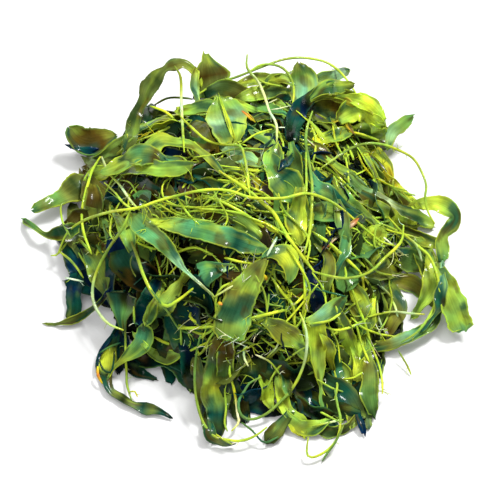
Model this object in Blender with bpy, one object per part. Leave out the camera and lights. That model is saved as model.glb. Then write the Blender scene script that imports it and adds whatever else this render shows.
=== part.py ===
"""A clump of strap-leaved seaweed, lying in the loose heap that it was put down in.

The clump is made of fronds (the flat green blades), runners (the round creeping stems that the
fronds grow from) and rhizoid tufts (the tangled holdfasts in the heart of the heap).

The pieces are laid on the heap one at a time, the lowest first.  Each is drawn flat on a laying
board that faces the heap, u to the right and v up the board, and is then dropped along the
board's normal until it rests on what already lies there, so that no piece cuts another.
"""

import math

import bmesh
import bpy
from mathutils import Vector, noise
from mathutils.bvhtree import BVHTree

MM = 0.001  # every size below is in millimetres

# The heart of the heap: five tufts packed side by side under one low dome.
HEAP_CENTRE = Vector((-5.0, 3.0))
HEAP_HALF_WIDTH = 55.0
HEAP_HALF_DEPTH = 59.0
HEAP_HEIGHT = 46.0
HEAP_RIM = 3.0
TUFT_SPACING = 34.0
TUFT_GAP = 0.8
TUFT_RINGS = (0.35, 0.7, 1.0)
TUFT_SIDES = 18

# The blades and stems.
FROND_THICKNESS = 0.9
RUNNER_RADIUS = 0.65
RUNNER_SIDES = 6
FROND_STEP = 2.8
RUNNER_STEP = 3.6
SLIMMEST = 0.4

# The laying boards: the direction that each faces, and the height of the point it is centred on.
BOARD_HEIGHT = 12.0
FRONT_ELEVATION = 60.0
BACK_ELEVATION = 40.0
REACH = 200.0

# How a piece settles.
CLEARANCE = 0.5
FLOOR_GAP = 0.5
PROBE_SPACING = 0.7
PROBE_MARGIN = 0.8
PROBES_PER_STEP = 5
FROND_EASING = 10
RUNNER_EASING = 24
LEAN_SHARE = 0.65
STEEPEST_LEAN = 0.9
STEEPEST_STRETCH = 2.0
FROND_CUP = 0.16

TONES = {
    "lime": (0.42, 0.56, 0.05),
    "leaf": (0.20, 0.36, 0.06),
    "teal": (0.10, 0.30, 0.16),
    "olive": (0.13, 0.17, 0.04),
    "navy": (0.02, 0.06, 0.09),
    "runner": (0.55, 0.66, 0.05),
    "pale": (0.66, 0.72, 0.36),
    "tuft": (0.30, 0.28, 0.10),
}


# ---------------------------------------------------------------- scene and materials


def clear_scene():
    for item in list(bpy.data.objects):
        bpy.data.objects.remove(item, do_unlink=True)


def wet_material(tone):
    """A wet, waxy skin in one of the clump's tones."""
    name = "seaweed_" + tone
    material = bpy.data.materials.get(name)
    if material:
        return material
    material = bpy.data.materials.new(name)
    material.use_nodes = True
    shader = material.node_tree.nodes["Principled BSDF"]
    shader.inputs["Base Color"].default_value = (*TONES[tone], 1.0)
    shader.inputs["Roughness"].default_value = 0.6 if tone == "tuft" else 0.3
    shader.inputs["Metallic"].default_value = 0.0
    material.diffuse_color = (*TONES[tone], 1.0)
    return material


def add_object(name, points, faces, tone):
    """Makes one named solid from points in millimetres and triangles."""
    mesh = bpy.data.meshes.new(name)
    mesh.from_pydata([point * MM for point in points], [], faces)
    shape = bmesh.new()
    shape.from_mesh(mesh)
    bmesh.ops.recalc_face_normals(shape, faces=shape.faces)
    shape.to_mesh(mesh)
    shape.free()
    mesh.shade_smooth()
    mesh.materials.append(wet_material(tone))
    item = bpy.data.objects.new(name, mesh)
    item.parent = clump
    bpy.context.collection.objects.link(item)
    heap.add(points, faces)
    return item


# ---------------------------------------------------------------- boards and heap


class Board:
    """A drawing board that faces the heap from one side."""

    def __init__(self, azimuth, elevation):
        turn, rise = math.radians(azimuth), math.radians(elevation)
        self.right = Vector((math.cos(turn), math.sin(turn), 0.0))
        self.out = Vector((math.sin(turn) * math.cos(rise), -math.cos(turn) * math.cos(rise), math.sin(rise)))
        self.up = self.out.cross(self.right)

    def point(self, u, v, depth):
        """The place in the heap's own axes of a point on the board, raised by depth."""
        return Vector((0.0, 0.0, BOARD_HEIGHT)) + self.right * u + self.up * v + self.out * depth

    def depth_at_height(self, v, height):
        """The depth at which a point of the board is this high above the ground."""
        return (height - BOARD_HEIGHT - self.up.z * v) / self.out.z


class Heap:
    """All that has been laid so far, as one tree of triangles to drop rays on."""

    def __init__(self):
        self.points = []
        self.faces = []
        self.tree = None

    def add(self, points, faces):
        first = len(self.points)
        self.points += points
        self.faces += [tuple(first + corner for corner in face) for face in faces]
        self.tree = BVHTree.FromPolygons(self.points, self.faces, all_triangles=True)

    def depth(self, board, u, v):
        """The depth of the highest thing under a point of the board, the ground included."""
        ground = board.depth_at_height(v, FLOOR_GAP)
        distance = self.tree.ray_cast(board.point(u, v, REACH), -board.out, 2.0 * REACH)[3]
        return ground if distance is None else max(ground, REACH - distance)


# ---------------------------------------------------------------- rhizoid tufts


def dome_height(x, y):
    """The height of the heap's heart, with shallow lumps in it."""
    across = (x - HEAP_CENTRE.x) / HEAP_HALF_WIDTH
    along = (y - HEAP_CENTRE.y) / HEAP_HALF_DEPTH
    fall = max(0.0, 1.0 - across * across - along * along)
    lump = 2.5 * noise.noise(Vector((x, y, 0.0)) * 0.07)
    return HEAP_RIM + (HEAP_HEIGHT - HEAP_RIM + lump) * fall**0.8


def tuft_reach(seed, direction, seeds):
    """How far a tuft spreads one way before it meets its neighbour or the heap's rim."""
    reach = 0.0
    while reach < 80.0:
        spot = seed + direction * (reach + 0.25)
        across = (spot.x - HEAP_CENTRE.x) / HEAP_HALF_WIDTH
        along = (spot.y - HEAP_CENTRE.y) / HEAP_HALF_DEPTH
        if across * across + along * along > 1.0:
            return reach
        own = (spot - seed).length
        for other in seeds:
            if other is not seed and (spot - other).length < own + TUFT_GAP * 1.3:
                return reach
        reach += 0.25
    return reach


def make_tuft(name, seed, seeds):
    """One tuft: a low lump with a flat underside, grown until it meets its neighbours."""
    points, faces = [], []
    for share in TUFT_RINGS:
        for side in range(TUFT_SIDES):
            angle = 2.0 * math.pi * side / TUFT_SIDES
            direction = Vector((math.cos(angle), math.sin(angle)))
            spot = seed + direction * tuft_reach(seed, direction, seeds) * share
            height = dome_height(spot.x, spot.y) * (1.0 - 0.22 * share**4)
            points.append(Vector((spot.x, spot.y, height)))
    outer = (len(TUFT_RINGS) - 1) * TUFT_SIDES
    foot = len(points)
    points += [Vector((point.x, point.y, 0.0)) for point in points[outer:foot]]
    crown = len(points)
    points.append(Vector((seed.x, seed.y, dome_height(seed.x, seed.y))))
    points.append(Vector((seed.x, seed.y, 0.0)))
    for ring in range(len(TUFT_RINGS)):
        for side in range(TUFT_SIDES):
            near = ring * TUFT_SIDES + side
            beside = ring * TUFT_SIDES + (side + 1) % TUFT_SIDES
            faces.append((near, near + TUFT_SIDES, beside))
            faces.append((beside, near + TUFT_SIDES, beside + TUFT_SIDES))
    for side in range(TUFT_SIDES):
        beside = (side + 1) % TUFT_SIDES
        faces.append((crown, side, beside))
        faces.append((crown + 1, foot + beside, foot + side))
    add_object(name, points, faces, "tuft")


def make_tufts():
    """A middle tuft with four around it."""
    places = {"middle": HEAP_CENTRE.copy()}
    for quarter, side in enumerate(("east", "north", "west", "south")):
        angle = math.radians(40.0 + 90.0 * quarter)
        places[side] = HEAP_CENTRE + Vector((math.cos(angle), math.sin(angle))) * TUFT_SPACING
    for side, seed in places.items():
        make_tuft("rhizoid_tuft_" + side, seed, list(places.values()))


# ---------------------------------------------------------------- laying a piece


def smooth_route(points, step):
    """Stations every few millimetres along a smooth curve through the hand-set points."""
    rows = [[float(value) for value in point] for point in points]
    rows = [[2 * a - b for a, b in zip(rows[0], rows[1])]] + rows
    rows = rows + [[2 * a - b for a, b in zip(rows[-1], rows[-2])]]
    fine, parts = [], 12
    for before, start, end, after in zip(rows, rows[1:], rows[2:], rows[3:]):
        for part in range(parts):
            t = part / parts
            row = []
            for p, q, r, s in zip(before, start, end, after):
                bend = (2 * p - 5 * q + 4 * r - s) * t * t + (3 * q - p - 3 * r + s) * t**3
                row.append(q + 0.5 * ((r - p) * t + bend))
            fine.append(row)
    fine.append(rows[-2])
    walked = [0.0]
    for a, b in zip(fine, fine[1:]):
        walked.append(walked[-1] + math.dist(a[:2], b[:2]))
    count = max(4, round(walked[-1] / step))
    stations, place = [], 0
    for index in range(count + 1):
        goal = walked[-1] * index / count
        while place < len(fine) - 2 and walked[place + 1] < goal:
            place += 1
        share = (goal - walked[place]) / max(1e-9, walked[place + 1] - walked[place])
        stations.append([a + (b - a) * share for a, b in zip(fine[place], fine[place + 1])])
    return stations


def directions_across(stations):
    """The direction across the route at each station, on the board."""
    result = []
    last = len(stations) - 1
    for index in range(len(stations)):
        before, after = stations[max(0, index - 1)], stations[min(last, index + 1)]
        along = Vector((after[0] - before[0], after[1] - before[1])).normalized()
        result.append(Vector((-along.y, along.x)))
    return result


def blend(a, b, share):
    return a + (b - a) * share


def settle(board, stations, across, widths, heights, underside, easing):
    """The depth of each station once the piece rests, clear of all that lies under it."""
    needed = [board.depth_at_height(row[1], height) for row, height in zip(stations, heights)]
    for index in range(len(stations) - 1):
        for probe in range(PROBES_PER_STEP + 1):
            share = probe / PROBES_PER_STEP
            half = blend(widths[index], widths[index + 1], share) + PROBE_MARGIN
            middle = Vector(stations[index][:2]).lerp(Vector(stations[index + 1][:2]), share)
            side = across[index].lerp(across[index + 1], share)
            count = math.ceil(2.0 * half / PROBE_SPACING)
            for place in range(count + 1):
                x = half * (2.0 * place / count - 1.0)
                low = blend(underside(index, x), underside(index + 1, x), share)
                spot = middle + side * x
                rest = heap.depth(board, spot.x, spot.y) + CLEARANCE - low
                needed[index] = max(needed[index], rest)
                needed[index + 1] = max(needed[index + 1], rest)
    depths = list(needed)
    for _ in range(easing):
        padded = [depths[0]] + depths + [depths[-1]]
        eased = [(a + 2 * b + c) / 4 for a, b, c in zip(padded, padded[1:], padded[2:])]
        depths = [max(need, value) for need, value in zip(needed, eased)]
    return depths


def stretches(stations, depths):
    """How much a thickness along the board's normal grows where the piece runs up or down."""
    result = []
    last = len(stations) - 1
    for index in range(len(stations)):
        low, high = max(0, index - 1), min(last, index + 1)
        run = math.dist(stations[low][:2], stations[high][:2])
        slope = abs(depths[high] - depths[low]) / max(run, 1e-6)
        result.append(min(STEEPEST_STRETCH, math.hypot(1.0, slope)))
    return result


def skin(rings):
    """Triangles that join rings of points end to end and close both ends."""
    sides = len(rings[0])
    faces = []
    for ring in range(len(rings) - 1):
        for side in range(sides):
            near = ring * sides + side
            beside = ring * sides + (side + 1) % sides
            faces.append((near, beside, near + sides))
            faces.append((beside, beside + sides, near + sides))
    last = (len(rings) - 1) * sides
    for side in range(1, sides - 1):
        faces.append((0, side + 1, side))
        faces.append((last, last + side, last + side + 1))
    return faces


def lay_frond(name, tone, points, cup=FROND_CUP, lean=0.0, board=None):
    """Lays one blade.  Each point is (u, v, half width) or (u, v, half width, least height)."""
    board = board or front
    stations = smooth_route([(*point, 0.0)[:4] for point in points], FROND_STEP)
    across = directions_across(stations)
    widths = [max(SLIMMEST, row[2]) for row in stations]
    heights = [row[3] for row in stations]
    leans = []
    for row, side, width in zip(stations, across, widths):
        spot = Vector(row[:2])
        high, low = spot + side * width, spot - side * width
        rise = ground.depth(board, high.x, high.y) - ground.depth(board, low.x, low.y)
        slope = LEAN_SHARE * rise / (2.0 * width) + math.tan(math.radians(lean))
        leans.append(max(-STEEPEST_LEAN, min(STEEPEST_LEAN, slope)))
    padded = [leans[0]] * 2 + leans + [leans[-1]] * 2
    leans = [sum(padded[index : index + 5]) / 5.0 for index in range(len(leans))]
    stretch = [1.0] * len(stations)

    def edge(index, x):
        return x * leans[index] + cup * abs(x)

    def underside(index, x):
        share = min(1.0, abs(x) / widths[index])
        return edge(index, x) - 0.5 * FROND_THICKNESS * stretch[index] * (1.0 - share)

    for _ in range(2):
        depths = settle(board, stations, across, widths, heights, underside, FROND_EASING)
        stretch[:] = stretches(stations, depths)
    depths = settle(board, stations, across, widths, heights, underside, FROND_EASING)
    points, rings = [], []
    for index, row in enumerate(stations):
        half, side = widths[index], across[index]
        belly = 0.5 * FROND_THICKNESS * stretch[index]
        ring = []
        for x, offset in (
            (-half, edge(index, -half)),
            (0.0, belly),
            (half, edge(index, half)),
            (0.0, -belly),
        ):
            spot = Vector(row[:2]) + side * x
            ring.append(board.point(spot.x, spot.y, depths[index] + offset))
        rings.append(ring)
        points += ring
    return add_object(name, points, skin(rings), tone)


def lay_runner(name, points, tone="runner", radius=RUNNER_RADIUS, board=None):
    """Lays one round stem.  Each point is (u, v) or (u, v, least height)."""
    board = board or front
    stations = smooth_route([(*point, 0.0)[:3] for point in points], RUNNER_STEP)
    across = directions_across(stations)
    widths = [radius] * len(stations)
    heights = [row[2] for row in stations]
    stretch = [1.0] * len(stations)

    def underside(index, x):
        return -radius * stretch[index]

    for _ in range(2):
        depths = settle(board, stations, across, widths, heights, underside, RUNNER_EASING)
        stretch[:] = stretches(stations, depths)
    depths = settle(board, stations, across, widths, heights, underside, RUNNER_EASING)
    points, rings = [], []
    for index, row in enumerate(stations):
        ring = []
        for corner in range(RUNNER_SIDES):
            angle = 2.0 * math.pi * corner / RUNNER_SIDES
            spot = Vector(row[:2]) + across[index] * radius * math.cos(angle)
            offset = radius * stretch[index] * math.sin(angle)
            ring.append(board.point(spot.x, spot.y, depths[index] + offset))
        rings.append(ring)
        points += ring
    return add_object(name, points, skin(rings), tone)


# ---------------------------------------------------------------- the pieces, lowest first


def lay_back():
    """Blades and a long stem that hang down the far side of the heap."""
    lay_frond(
        "frond_back_east",
        "olive",
        [(-54, -20, 1), (-48, -27, 4), (-41, -33, 5), (-33, -37, 4), (-26, -38, 1.5)],
        board=back,
    )
    lay_frond(
        "frond_back_middle",
        "teal",
        [(-18, -18, 1), (-15, -26, 4.5), (-11, -34, 5.5), (-7, -42, 4.5), (-3, -48, 2)],
        board=back,
    )
    lay_frond(
        "frond_back_west",
        "leaf",
        [(10, -20, 1), (16, -27, 4), (23, -33, 5), (31, -36, 4), (40, -36, 1.2)],
        board=back,
    )
    lay_runner(
        "runner_back_long",
        [(-60, -16), (-50, -20), (-38, -26), (-25, -29), (-12, -30), (2, -28), (16, -23), (30, -21), (44, -15)],
        board=back,
    )


def lay_rim():
    """Dark blades low on the rim, with the green ones that stand out past them."""
    lay_frond("frond_west_navy", "navy", [(-68, 5, 1.5), (-65, 0, 3), (-62.5, -6, 3.8), (-61, -11, 3)])
    lay_frond(
        "frond_west_foot",
        "navy",
        [(-62, -9, 3), (-63.5, -15, 3.2), (-63.5, -21, 3), (-65, -25.5, 1.5)],
    )
    lay_frond("frond_dark_fan", "olive", [(-45, -29, 1.5), (-45.5, -24, 3.5), (-45, -19.5, 6), (-45, -16, 5)])
    lay_frond(
        "frond_north_olive",
        "olive",
        [(-11, 56, 4, 20), (-13, 61, 6, 22), (-15, 66, 5, 26), (-17, 71.5, 0.8, 28)],
    )
    lay_frond(
        "frond_north_waxy",
        "teal",
        [(18.5, 53, 2, 20), (19.5, 58, 4, 22), (19.5, 63, 3.8, 25), (18.5, 68, 1.5, 27)],
    )
    lay_runner(
        "runner_north_loop",
        [
            (-20, 56, 20),
            (-12, 61, 25),
            (-5, 63, 28),
            (5, 67, 29),
            (12, 69.5, 28),
            (19, 70.3, 26),
            (27, 69, 24),
            (32, 66, 22),
            (36, 61.5, 21),
            (39.5, 56, 20),
        ],
        radius=0.55,
    )
    lay_frond(
        "frond_east_shoulder",
        "lime",
        [(32, 46.5, 2, 22), (36.5, 50, 4.5, 26), (41, 51.5, 5.5, 26), (46, 49, 4, 20), (50, 45.5, 1.5, 14)],
    )
    lay_frond(
        "frond_east_point",
        "leaf",
        [(50.5, 37, 1, 8), (52.5, 43, 2.3, 9), (56, 46, 2, 10), (59, 48.5, 0.8, 12)],
    )
    lay_frond(
        "frond_west_cup",
        "olive",
        [(-49, 42, 1.5, 8), (-54, 41, 4, 7), (-58.5, 39.5, 5.5, 6), (-63, 41, 4, 8), (-66, 44.5, 1.5, 11)],
        cup=0.5,
    )
    lay_frond(
        "frond_west_spread",
        "leaf",
        [(-59, 28, 2), (-64, 23.5, 5), (-69, 19.5, 3.5, 6), (-74, 16.5, 3, 7), (-78.5, 15, 1.5, 7)],
    )
    lay_frond(
        "frond_north_west_arch",
        "leaf",
        [
            (-45, 36, 2),
            (-43, 42, 2.5, 16),
            (-42, 48, 2.5, 20),
            (-39, 54, 2, 24),
            (-37, 59, 3.5, 27),
            (-34, 63, 3, 28),
            (-31, 66, 1.2, 29),
            (-28, 67.5, 2.7, 29),
            (-24, 68, 1.3, 28),
            (-20, 65, 0.7, 26),
            (-18, 60, 0.5, 24),
        ],
    )


def lay_crown():
    """The blades and stems over the far half of the heap."""
    lay_frond(
        "frond_crown_teal", "teal", [(-12, 54, 3), (-10, 49, 6.5), (-8.5, 44, 6.5), (-7, 38.5, 3)]
    )
    lay_frond(
        "frond_crown_ridge",
        "lime",
        [(-27, 50, 2), (-21, 51, 2.3), (-15, 52.5, 2.5), (-10, 52, 1.5), (-5, 53, 2), (3, 50, 0.8)],
    )
    lay_runner(
        "runner_pale_north",
        [(-1, 71, 32), (-1, 66, 32), (3, 61, 32), (5.5, 55), (7, 50), (9.5, 45), (9.5, 37)],
        tone="pale",
        radius=0.6,
    )
    lay_frond(
        "frond_long_lime",
        "lime",
        [
            (-60, 26, 0.8),
            (-56, 27.5, 3),
            (-50, 29.5, 2),
            (-44, 30.5, 4.2),
            (-37, 29.5, 3.2),
            (-30, 29.2, 2),
            (-24, 29.7, 2),
            (-17, 30, 1.2),
            (-8, 29.2, 0.6),
            (4, 28, 0.5),
        ],
    )
    lay_frond(
        "frond_folded_over",
        "lime",
        [
            (-48, 31, 2.5),
            (-43, 33, 4),
            (-37, 36, 4.5),
            (-32, 39.5, 3.2),
            (-27, 39, 1.8),
            (-21, 37.5, 2),
            (-16, 34, 1.8),
            (-12, 30, 1.4),
            (-9, 26, 0.8),
        ],
    )
    lay_frond(
        "frond_navy_blade",
        "navy",
        [
            (30, 61, 1, 26),
            (26, 58, 2, 26),
            (22, 55, 2.5),
            (18, 51, 3.5),
            (16, 47, 4),
            (15, 42, 3.5),
            (15, 38, 2),
        ],
    )
    lay_frond(
        "frond_chain",
        "lime",
        [
            (10, 38, 0.8),
            (8.5, 33, 3.8),
            (8, 29, 2.8),
            (11, 25, 5.5),
            (14.5, 21, 5),
            (17, 17, 3.2),
            (17, 12, 4),
            (18, 7, 3),
            (18, 3, 1),
        ],
    )
    lay_runner(
        "runner_east_upright",
        [(22.5, 50), (20.5, 44), (20, 38), (21, 32), (22, 24), (22, 20), (21.8, 14), (21, 6), (19, -2)],
    )


def lay_east():
    """The blades that slant down to the east side, and the loops that reach out past it."""
    lay_frond(
        "frond_east_yellow",
        "lime",
        [(42, 38, 0.8), (47, 35.5, 2), (50.5, 31, 1.8), (51.5, 26, 1), (51, 20, 0.8)],
    )
    lay_frond(
        "frond_east_diagonal",
        "leaf",
        [(24, 29, 1), (30, 24.5, 2.5), (34.5, 18.5, 2.2), (40, 13.5, 2.2), (45, 9, 2.5), (50, 4, 1)],
    )
    lay_frond(
        "frond_east_waxy",
        "teal",
        [
            (34, 27, 1.5),
            (40, 21.5, 2),
            (46, 19.5, 1.8),
            (52, 16, 1.8),
            (58, 13, 2.8),
            (63, 10.5, 2.5),
            (67, 8.5, 1.2),
        ],
    )
    lay_frond("frond_east_olive", "olive", [(47, 7, 2), (44.5, 1.5, 3.2), (42.5, -4, 2)])
    lay_frond(
        "frond_east_loop",
        "lime",
        [
            (58, 16, 1.5, 14),
            (64, 17.2, 2.8, 16),
            (70, 16, 3, 18),
            (74, 12.5, 2.2, 16),
            (73, 9, 2.5, 13),
            (70, 5.5, 1.5, 11),
            (69.5, 1, 1.5, 9),
            (69.5, -4, 1, 8),
        ],
    )
    lay_runner(
        "runner_east_loop",
        [
            (25, 29),
            (30, 32.5),
            (36, 36.5),
            (42, 38.5),
            (48, 38.2, 22),
            (54, 36, 22),
            (59, 33, 22),
            (62, 28, 22),
            (63.5, 23, 22),
            (63, 19, 22),
            (64, 14),
            (66.5, 9.5),
        ],
        radius=0.55,
    )
    lay_frond(
        "frond_east_twisted",
        "teal",
        [(68, -20, 1.5), (66, -26, 2, 5), (61, -29, 2, 5), (55, -32, 2.5, 5), (49, -34, 2.5), (44, -35, 2)],
    )
    lay_frond(
        "frond_east_big_lime",
        "lime",
        [(67.5, -7, 1.5, 12), (70.5, -13, 3, 11), (72.5, -19, 3.8, 9), (75, -24, 4, 6), (77, -29, 3, 4)],
    )
    lay_runner(
        "runner_east_long",
        [(45, 10), (50, 8.3), (56, 5), (61, 1), (64.5, -2.5), (67, -9), (67.5, -14), (65, -22), (60, -29), (54, -33)],
        radius=0.6,
    )


def lay_middle():
    """The large blades that lie across the face of the heap."""
    lay_frond(
        "frond_long_central",
        "leaf",
        [
            (-39, 10.5, 1.5),
            (-32, 8.5, 2.5),
            (-24, 6.8, 3),
            (-16, 5, 3.5),
            (-9, 2.8, 3.5),
            (-2, 1, 3),
            (4, 0.5, 2),
            (6.5, -1.5, 0.6),
        ],
    )
    lay_runner(
        "runner_west_thick",
        [(-42, 3), (-40, -2), (-38, -8), (-35.5, -13.5), (-33, -17), (-29.5, -19.8), (-25, -17.5), (-20, -13.5)],
        radius=0.7,
    )
    lay_frond("frond_teal_triangle", "teal", [(-5.5, -6.5, 0.6), (-11, -6.5, 2.5), (-16, -7, 4.5), (-19, -12, 3)])
    lay_frond(
        "frond_stalked_teal",
        "teal",
        [
            (-42, 12, 2),
            (-38, 8.5, 4),
            (-32, 3, 4),
            (-27, -2, 2.5),
            (-23, -7, 1.2),
            (-18, -11.5, 0.8),
            (-12.5, -16.5, 0.5),
        ],
    )
    lay_frond(
        "frond_olive_central",
        "leaf",
        [(5.5, -3, 1), (2, -8, 3.2), (-1.5, -14, 4.5), (-4, -20, 5), (-6, -26, 5), (-5, -32, 2.5)],
    )
    lay_frond(
        "frond_lime_hook",
        "lime",
        [(5.5, -2, 0.8), (9.5, -0.5, 2.2), (13.5, -3, 3), (15, -7, 2.2), (15, -12, 0.5)],
    )


def lay_south():
    """The blades and hanging loops on the near side."""
    lay_frond(
        "frond_south_west_hook",
        "olive",
        [
            (-48, -31, 1.5),
            (-51.5, -36, 3),
            (-52.5, -41, 3.2),
            (-51.5, -46, 2.5),
            (-48.5, -50.5, 1.6),
            (-44.5, -52.5, 1.2),
            (-41, -55, 1.5),
            (-37, -56, 2.1),
            (-33, -57, 1.2),
            (-28, -59.3, 0.5),
        ],
    )
    lay_frond(
        "frond_bright_leaf",
        "leaf",
        [(-37.5, -26.5, 1.5), (-37.5, -31, 3.3), (-41, -36, 3), (-46, -40, 1.3), (-47.5, -45, 0.8)],
    )
    lay_frond(
        "frond_south_big",
        "olive",
        [(-11, -30, 1.5), (-12, -38, 3.5), (-12.5, -46, 4.5), (-12.5, -53, 5), (-12, -60, 3.5), (-13, -67, 2.5)],
    )
    lay_runner(
        "runner_south_west_loop",
        [
            (-17.5, -30),
            (-18.8, -36),
            (-19.5, -42),
            (-19.5, -48),
            (-18.5, -55, 6),
            (-16.5, -61, 5),
            (-13, -65.5),
            (-8, -67, 4),
            (-3, -67.3, 4),
            (2, -65.5, 4),
            (6, -62.5, 5),
        ],
        radius=0.6,
    )
    lay_frond(
        "frond_south_pointed",
        "lime",
        [(9, -44, 1), (11, -51, 2.2), (13.5, -57, 2.5), (17, -62, 3.5), (19, -66, 1)],
    )
    lay_frond(
        "frond_south_east_chain",
        "lime",
        [
            (23, -24, 3.5),
            (24, -31, 4.5),
            (24.5, -38, 4.5),
            (25.5, -44, 3.5),
            (26, -49, 1.2),
            (26, -54, 1.6),
            (27, -58, 1),
        ],
    )
    lay_frond(
        "frond_south_east_pale", "leaf", [(34, -16.5, 0.8), (30, -20, 2.8), (25, -23.5, 3), (20, -26, 2)]
    )
    lay_frond(
        "frond_south_east_bright",
        "lime",
        [(35, -12, 1.2), (38.5, -15.5, 3), (41, -20, 2.8), (43, -25, 2.5), (45, -29, 1.5)],
    )
    lay_runner(
        "runner_south_east_loop",
        [
            (30, -49),
            (31, -55),
            (32, -60),
            (31, -66, 4),
            (28, -70, 3),
            (24, -72.5, 3),
            (21, -73, 3),
            (20, -71, 4),
            (20.5, -66),
        ],
        radius=0.55,
    )


def lay_top_runners():
    """The bright stems that lie over everything else."""
    lay_runner(
        "runner_west_upright",
        [(-54.5, 34), (-57.5, 29), (-59, 24), (-60.5, 18), (-61, 12), (-60, 6), (-57, -1.5)],
    )
    lay_runner(
        "runner_west_loop",
        [
            (-42, 15),
            (-45, 8),
            (-50, 1),
            (-54, -6),
            (-56, -12),
            (-56, -18, 12),
            (-53.5, -23, 10),
            (-50, -26.5, 10),
            (-45, -28.5),
        ],
    )
    lay_runner(
        "runner_crown_curve",
        [(-25, 48), (-20, 43), (-15, 39), (-9, 37.5), (-3.5, 37), (-2, 33), (-1, 28), (0, 22)],
        radius=0.6,
    )
    lay_runner(
        "runner_middle_branch", [(-17, 19.5), (-10, 17), (-5, 14.5), (0, 11.5), (5, 8), (10, 6), (15, 5.5)]
    )
    lay_runner(
        "runner_middle_thick",
        [
            (-11, 28),
            (-5, 24),
            (0, 20.5),
            (4, 17),
            (8, 13.5),
            (10.5, 9.5),
            (13, 5),
            (16, 1),
            (19, -3),
            (22.5, -7.5),
        ],
        radius=0.75,
    )
    lay_runner(
        "runner_long_bow",
        [
            (-69.5, -1.5),
            (-66, 6),
            (-60, 10.5),
            (-50, 13.5),
            (-40, 14.8),
            (-32, 17.5),
            (-20, 20.5),
            (-13, 21.3),
            (-7, 20.8),
            (0, 18.5),
            (5, 18.2),
            (12, 18.3),
            (20, 20),
            (28, 17.5),
            (34, 13.5),
            (38, 10),
            (43, 6),
            (47, 3),
            (52, 1.5),
        ],
    )
    lay_runner(
        "runner_olive_bow",
        [(22, -7.5), (27, -9), (33, -10), (39, -9.3), (44, -7), (48, -3), (52, 0.5), (54.5, 4), (55, 9)],
    )
    lay_runner(
        "runner_south_pale_loop",
        [
            (17.5, -22),
            (19.7, -28),
            (20, -35),
            (18.5, -42),
            (15, -49),
            (10, -54.5),
            (5, -58.5),
            (0, -60),
            (-3.5, -58),
            (-4, -53.5),
            (-2, -50),
            (0, -47),
            (4, -45),
        ],
        tone="pale",
    )


clear_scene()
clump = bpy.data.objects.new("seaweed_clump", None)
bpy.context.collection.objects.link(clump)
front = Board(0.0, FRONT_ELEVATION)
back = Board(180.0, BACK_ELEVATION)
heap = Heap()
make_tufts()
ground = Heap()
ground.add(list(heap.points), list(heap.faces))
lay_back()
lay_rim()
lay_crown()
lay_east()
lay_middle()
lay_south()
lay_top_runners()
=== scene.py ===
import math
import random

import bpy
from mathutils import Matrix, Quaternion, Vector, noise
from mathutils.bvhtree import BVHTree


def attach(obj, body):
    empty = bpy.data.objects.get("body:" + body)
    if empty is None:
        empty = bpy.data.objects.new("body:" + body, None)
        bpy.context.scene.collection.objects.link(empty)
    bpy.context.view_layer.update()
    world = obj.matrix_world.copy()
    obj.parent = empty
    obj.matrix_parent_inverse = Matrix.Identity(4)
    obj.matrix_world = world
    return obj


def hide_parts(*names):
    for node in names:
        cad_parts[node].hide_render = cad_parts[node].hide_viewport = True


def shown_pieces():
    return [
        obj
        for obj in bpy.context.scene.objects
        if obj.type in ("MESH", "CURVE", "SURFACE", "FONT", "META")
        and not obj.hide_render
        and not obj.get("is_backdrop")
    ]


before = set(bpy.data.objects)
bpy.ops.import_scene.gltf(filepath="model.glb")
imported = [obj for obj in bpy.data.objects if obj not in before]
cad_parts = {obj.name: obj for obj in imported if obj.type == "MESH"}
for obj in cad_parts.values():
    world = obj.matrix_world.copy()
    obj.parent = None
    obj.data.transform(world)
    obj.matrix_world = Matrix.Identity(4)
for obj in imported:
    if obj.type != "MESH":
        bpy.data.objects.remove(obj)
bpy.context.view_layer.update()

bpy.ops.object.select_all(action="DESELECT")
MM = 0.001

# ---------------------------------------------------------------- the view, the light and the ground
# The heap lies on a white bench, seen from well above its front edge.  Soft light falls on it from
# behind and above, so its near side has the deeper shadows.
LOOK_HEIGHT = 12.0
LOOK_ELEVATION = math.radians(60.0)
BACK_ELEVATION = math.radians(40.0)
VIEW_WIDTH = 180.0
BENCH_WHITE = 0.73
BENCH_GLOW = 0.06
ROOM_LIGHT = 0.08
LENS = 300.0
SENSOR = 36.0


class Board:
    """A board that faces the heap, on which routes are drawn in millimetres, u right and v up."""

    def __init__(self, azimuth, elevation):
        turn = math.radians(azimuth)
        self.right = Vector((math.cos(turn), math.sin(turn), 0.0))
        level = Vector((math.sin(turn), -math.cos(turn), 0.0)) * math.cos(elevation)
        self.out = level + Vector((0.0, 0.0, math.sin(elevation)))
        self.up = self.out.cross(self.right)

    def point(self, u, v, depth):
        """The place at a depth in front of a point of the board."""
        return Vector((0.0, 0.0, LOOK_HEIGHT)) + self.right * u + self.up * v + self.out * depth

    def depth_at_height(self, v, height):
        """The depth at which a row of the board is this high above the ground."""
        return (height - LOOK_HEIGHT - self.up.z * v) / self.out.z


front = Board(0.0, LOOK_ELEVATION)
back = Board(180.0, BACK_ELEVATION)

lens_data = bpy.data.cameras.new("camera")
lens_data.lens = LENS
lens_data.sensor_width = SENSOR
lens_data.clip_end = 10.0
camera = bpy.data.objects.new("camera", lens_data)
bpy.context.collection.objects.link(camera)
camera.location = front.point(0.0, 0.0, VIEW_WIDTH * LENS / SENSOR) * MM
camera.rotation_euler = (math.radians(90.0) - LOOK_ELEVATION, 0.0, 0.0)
bpy.context.scene.camera = camera
bpy.context.scene.view_settings.view_transform = "Standard"

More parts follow.
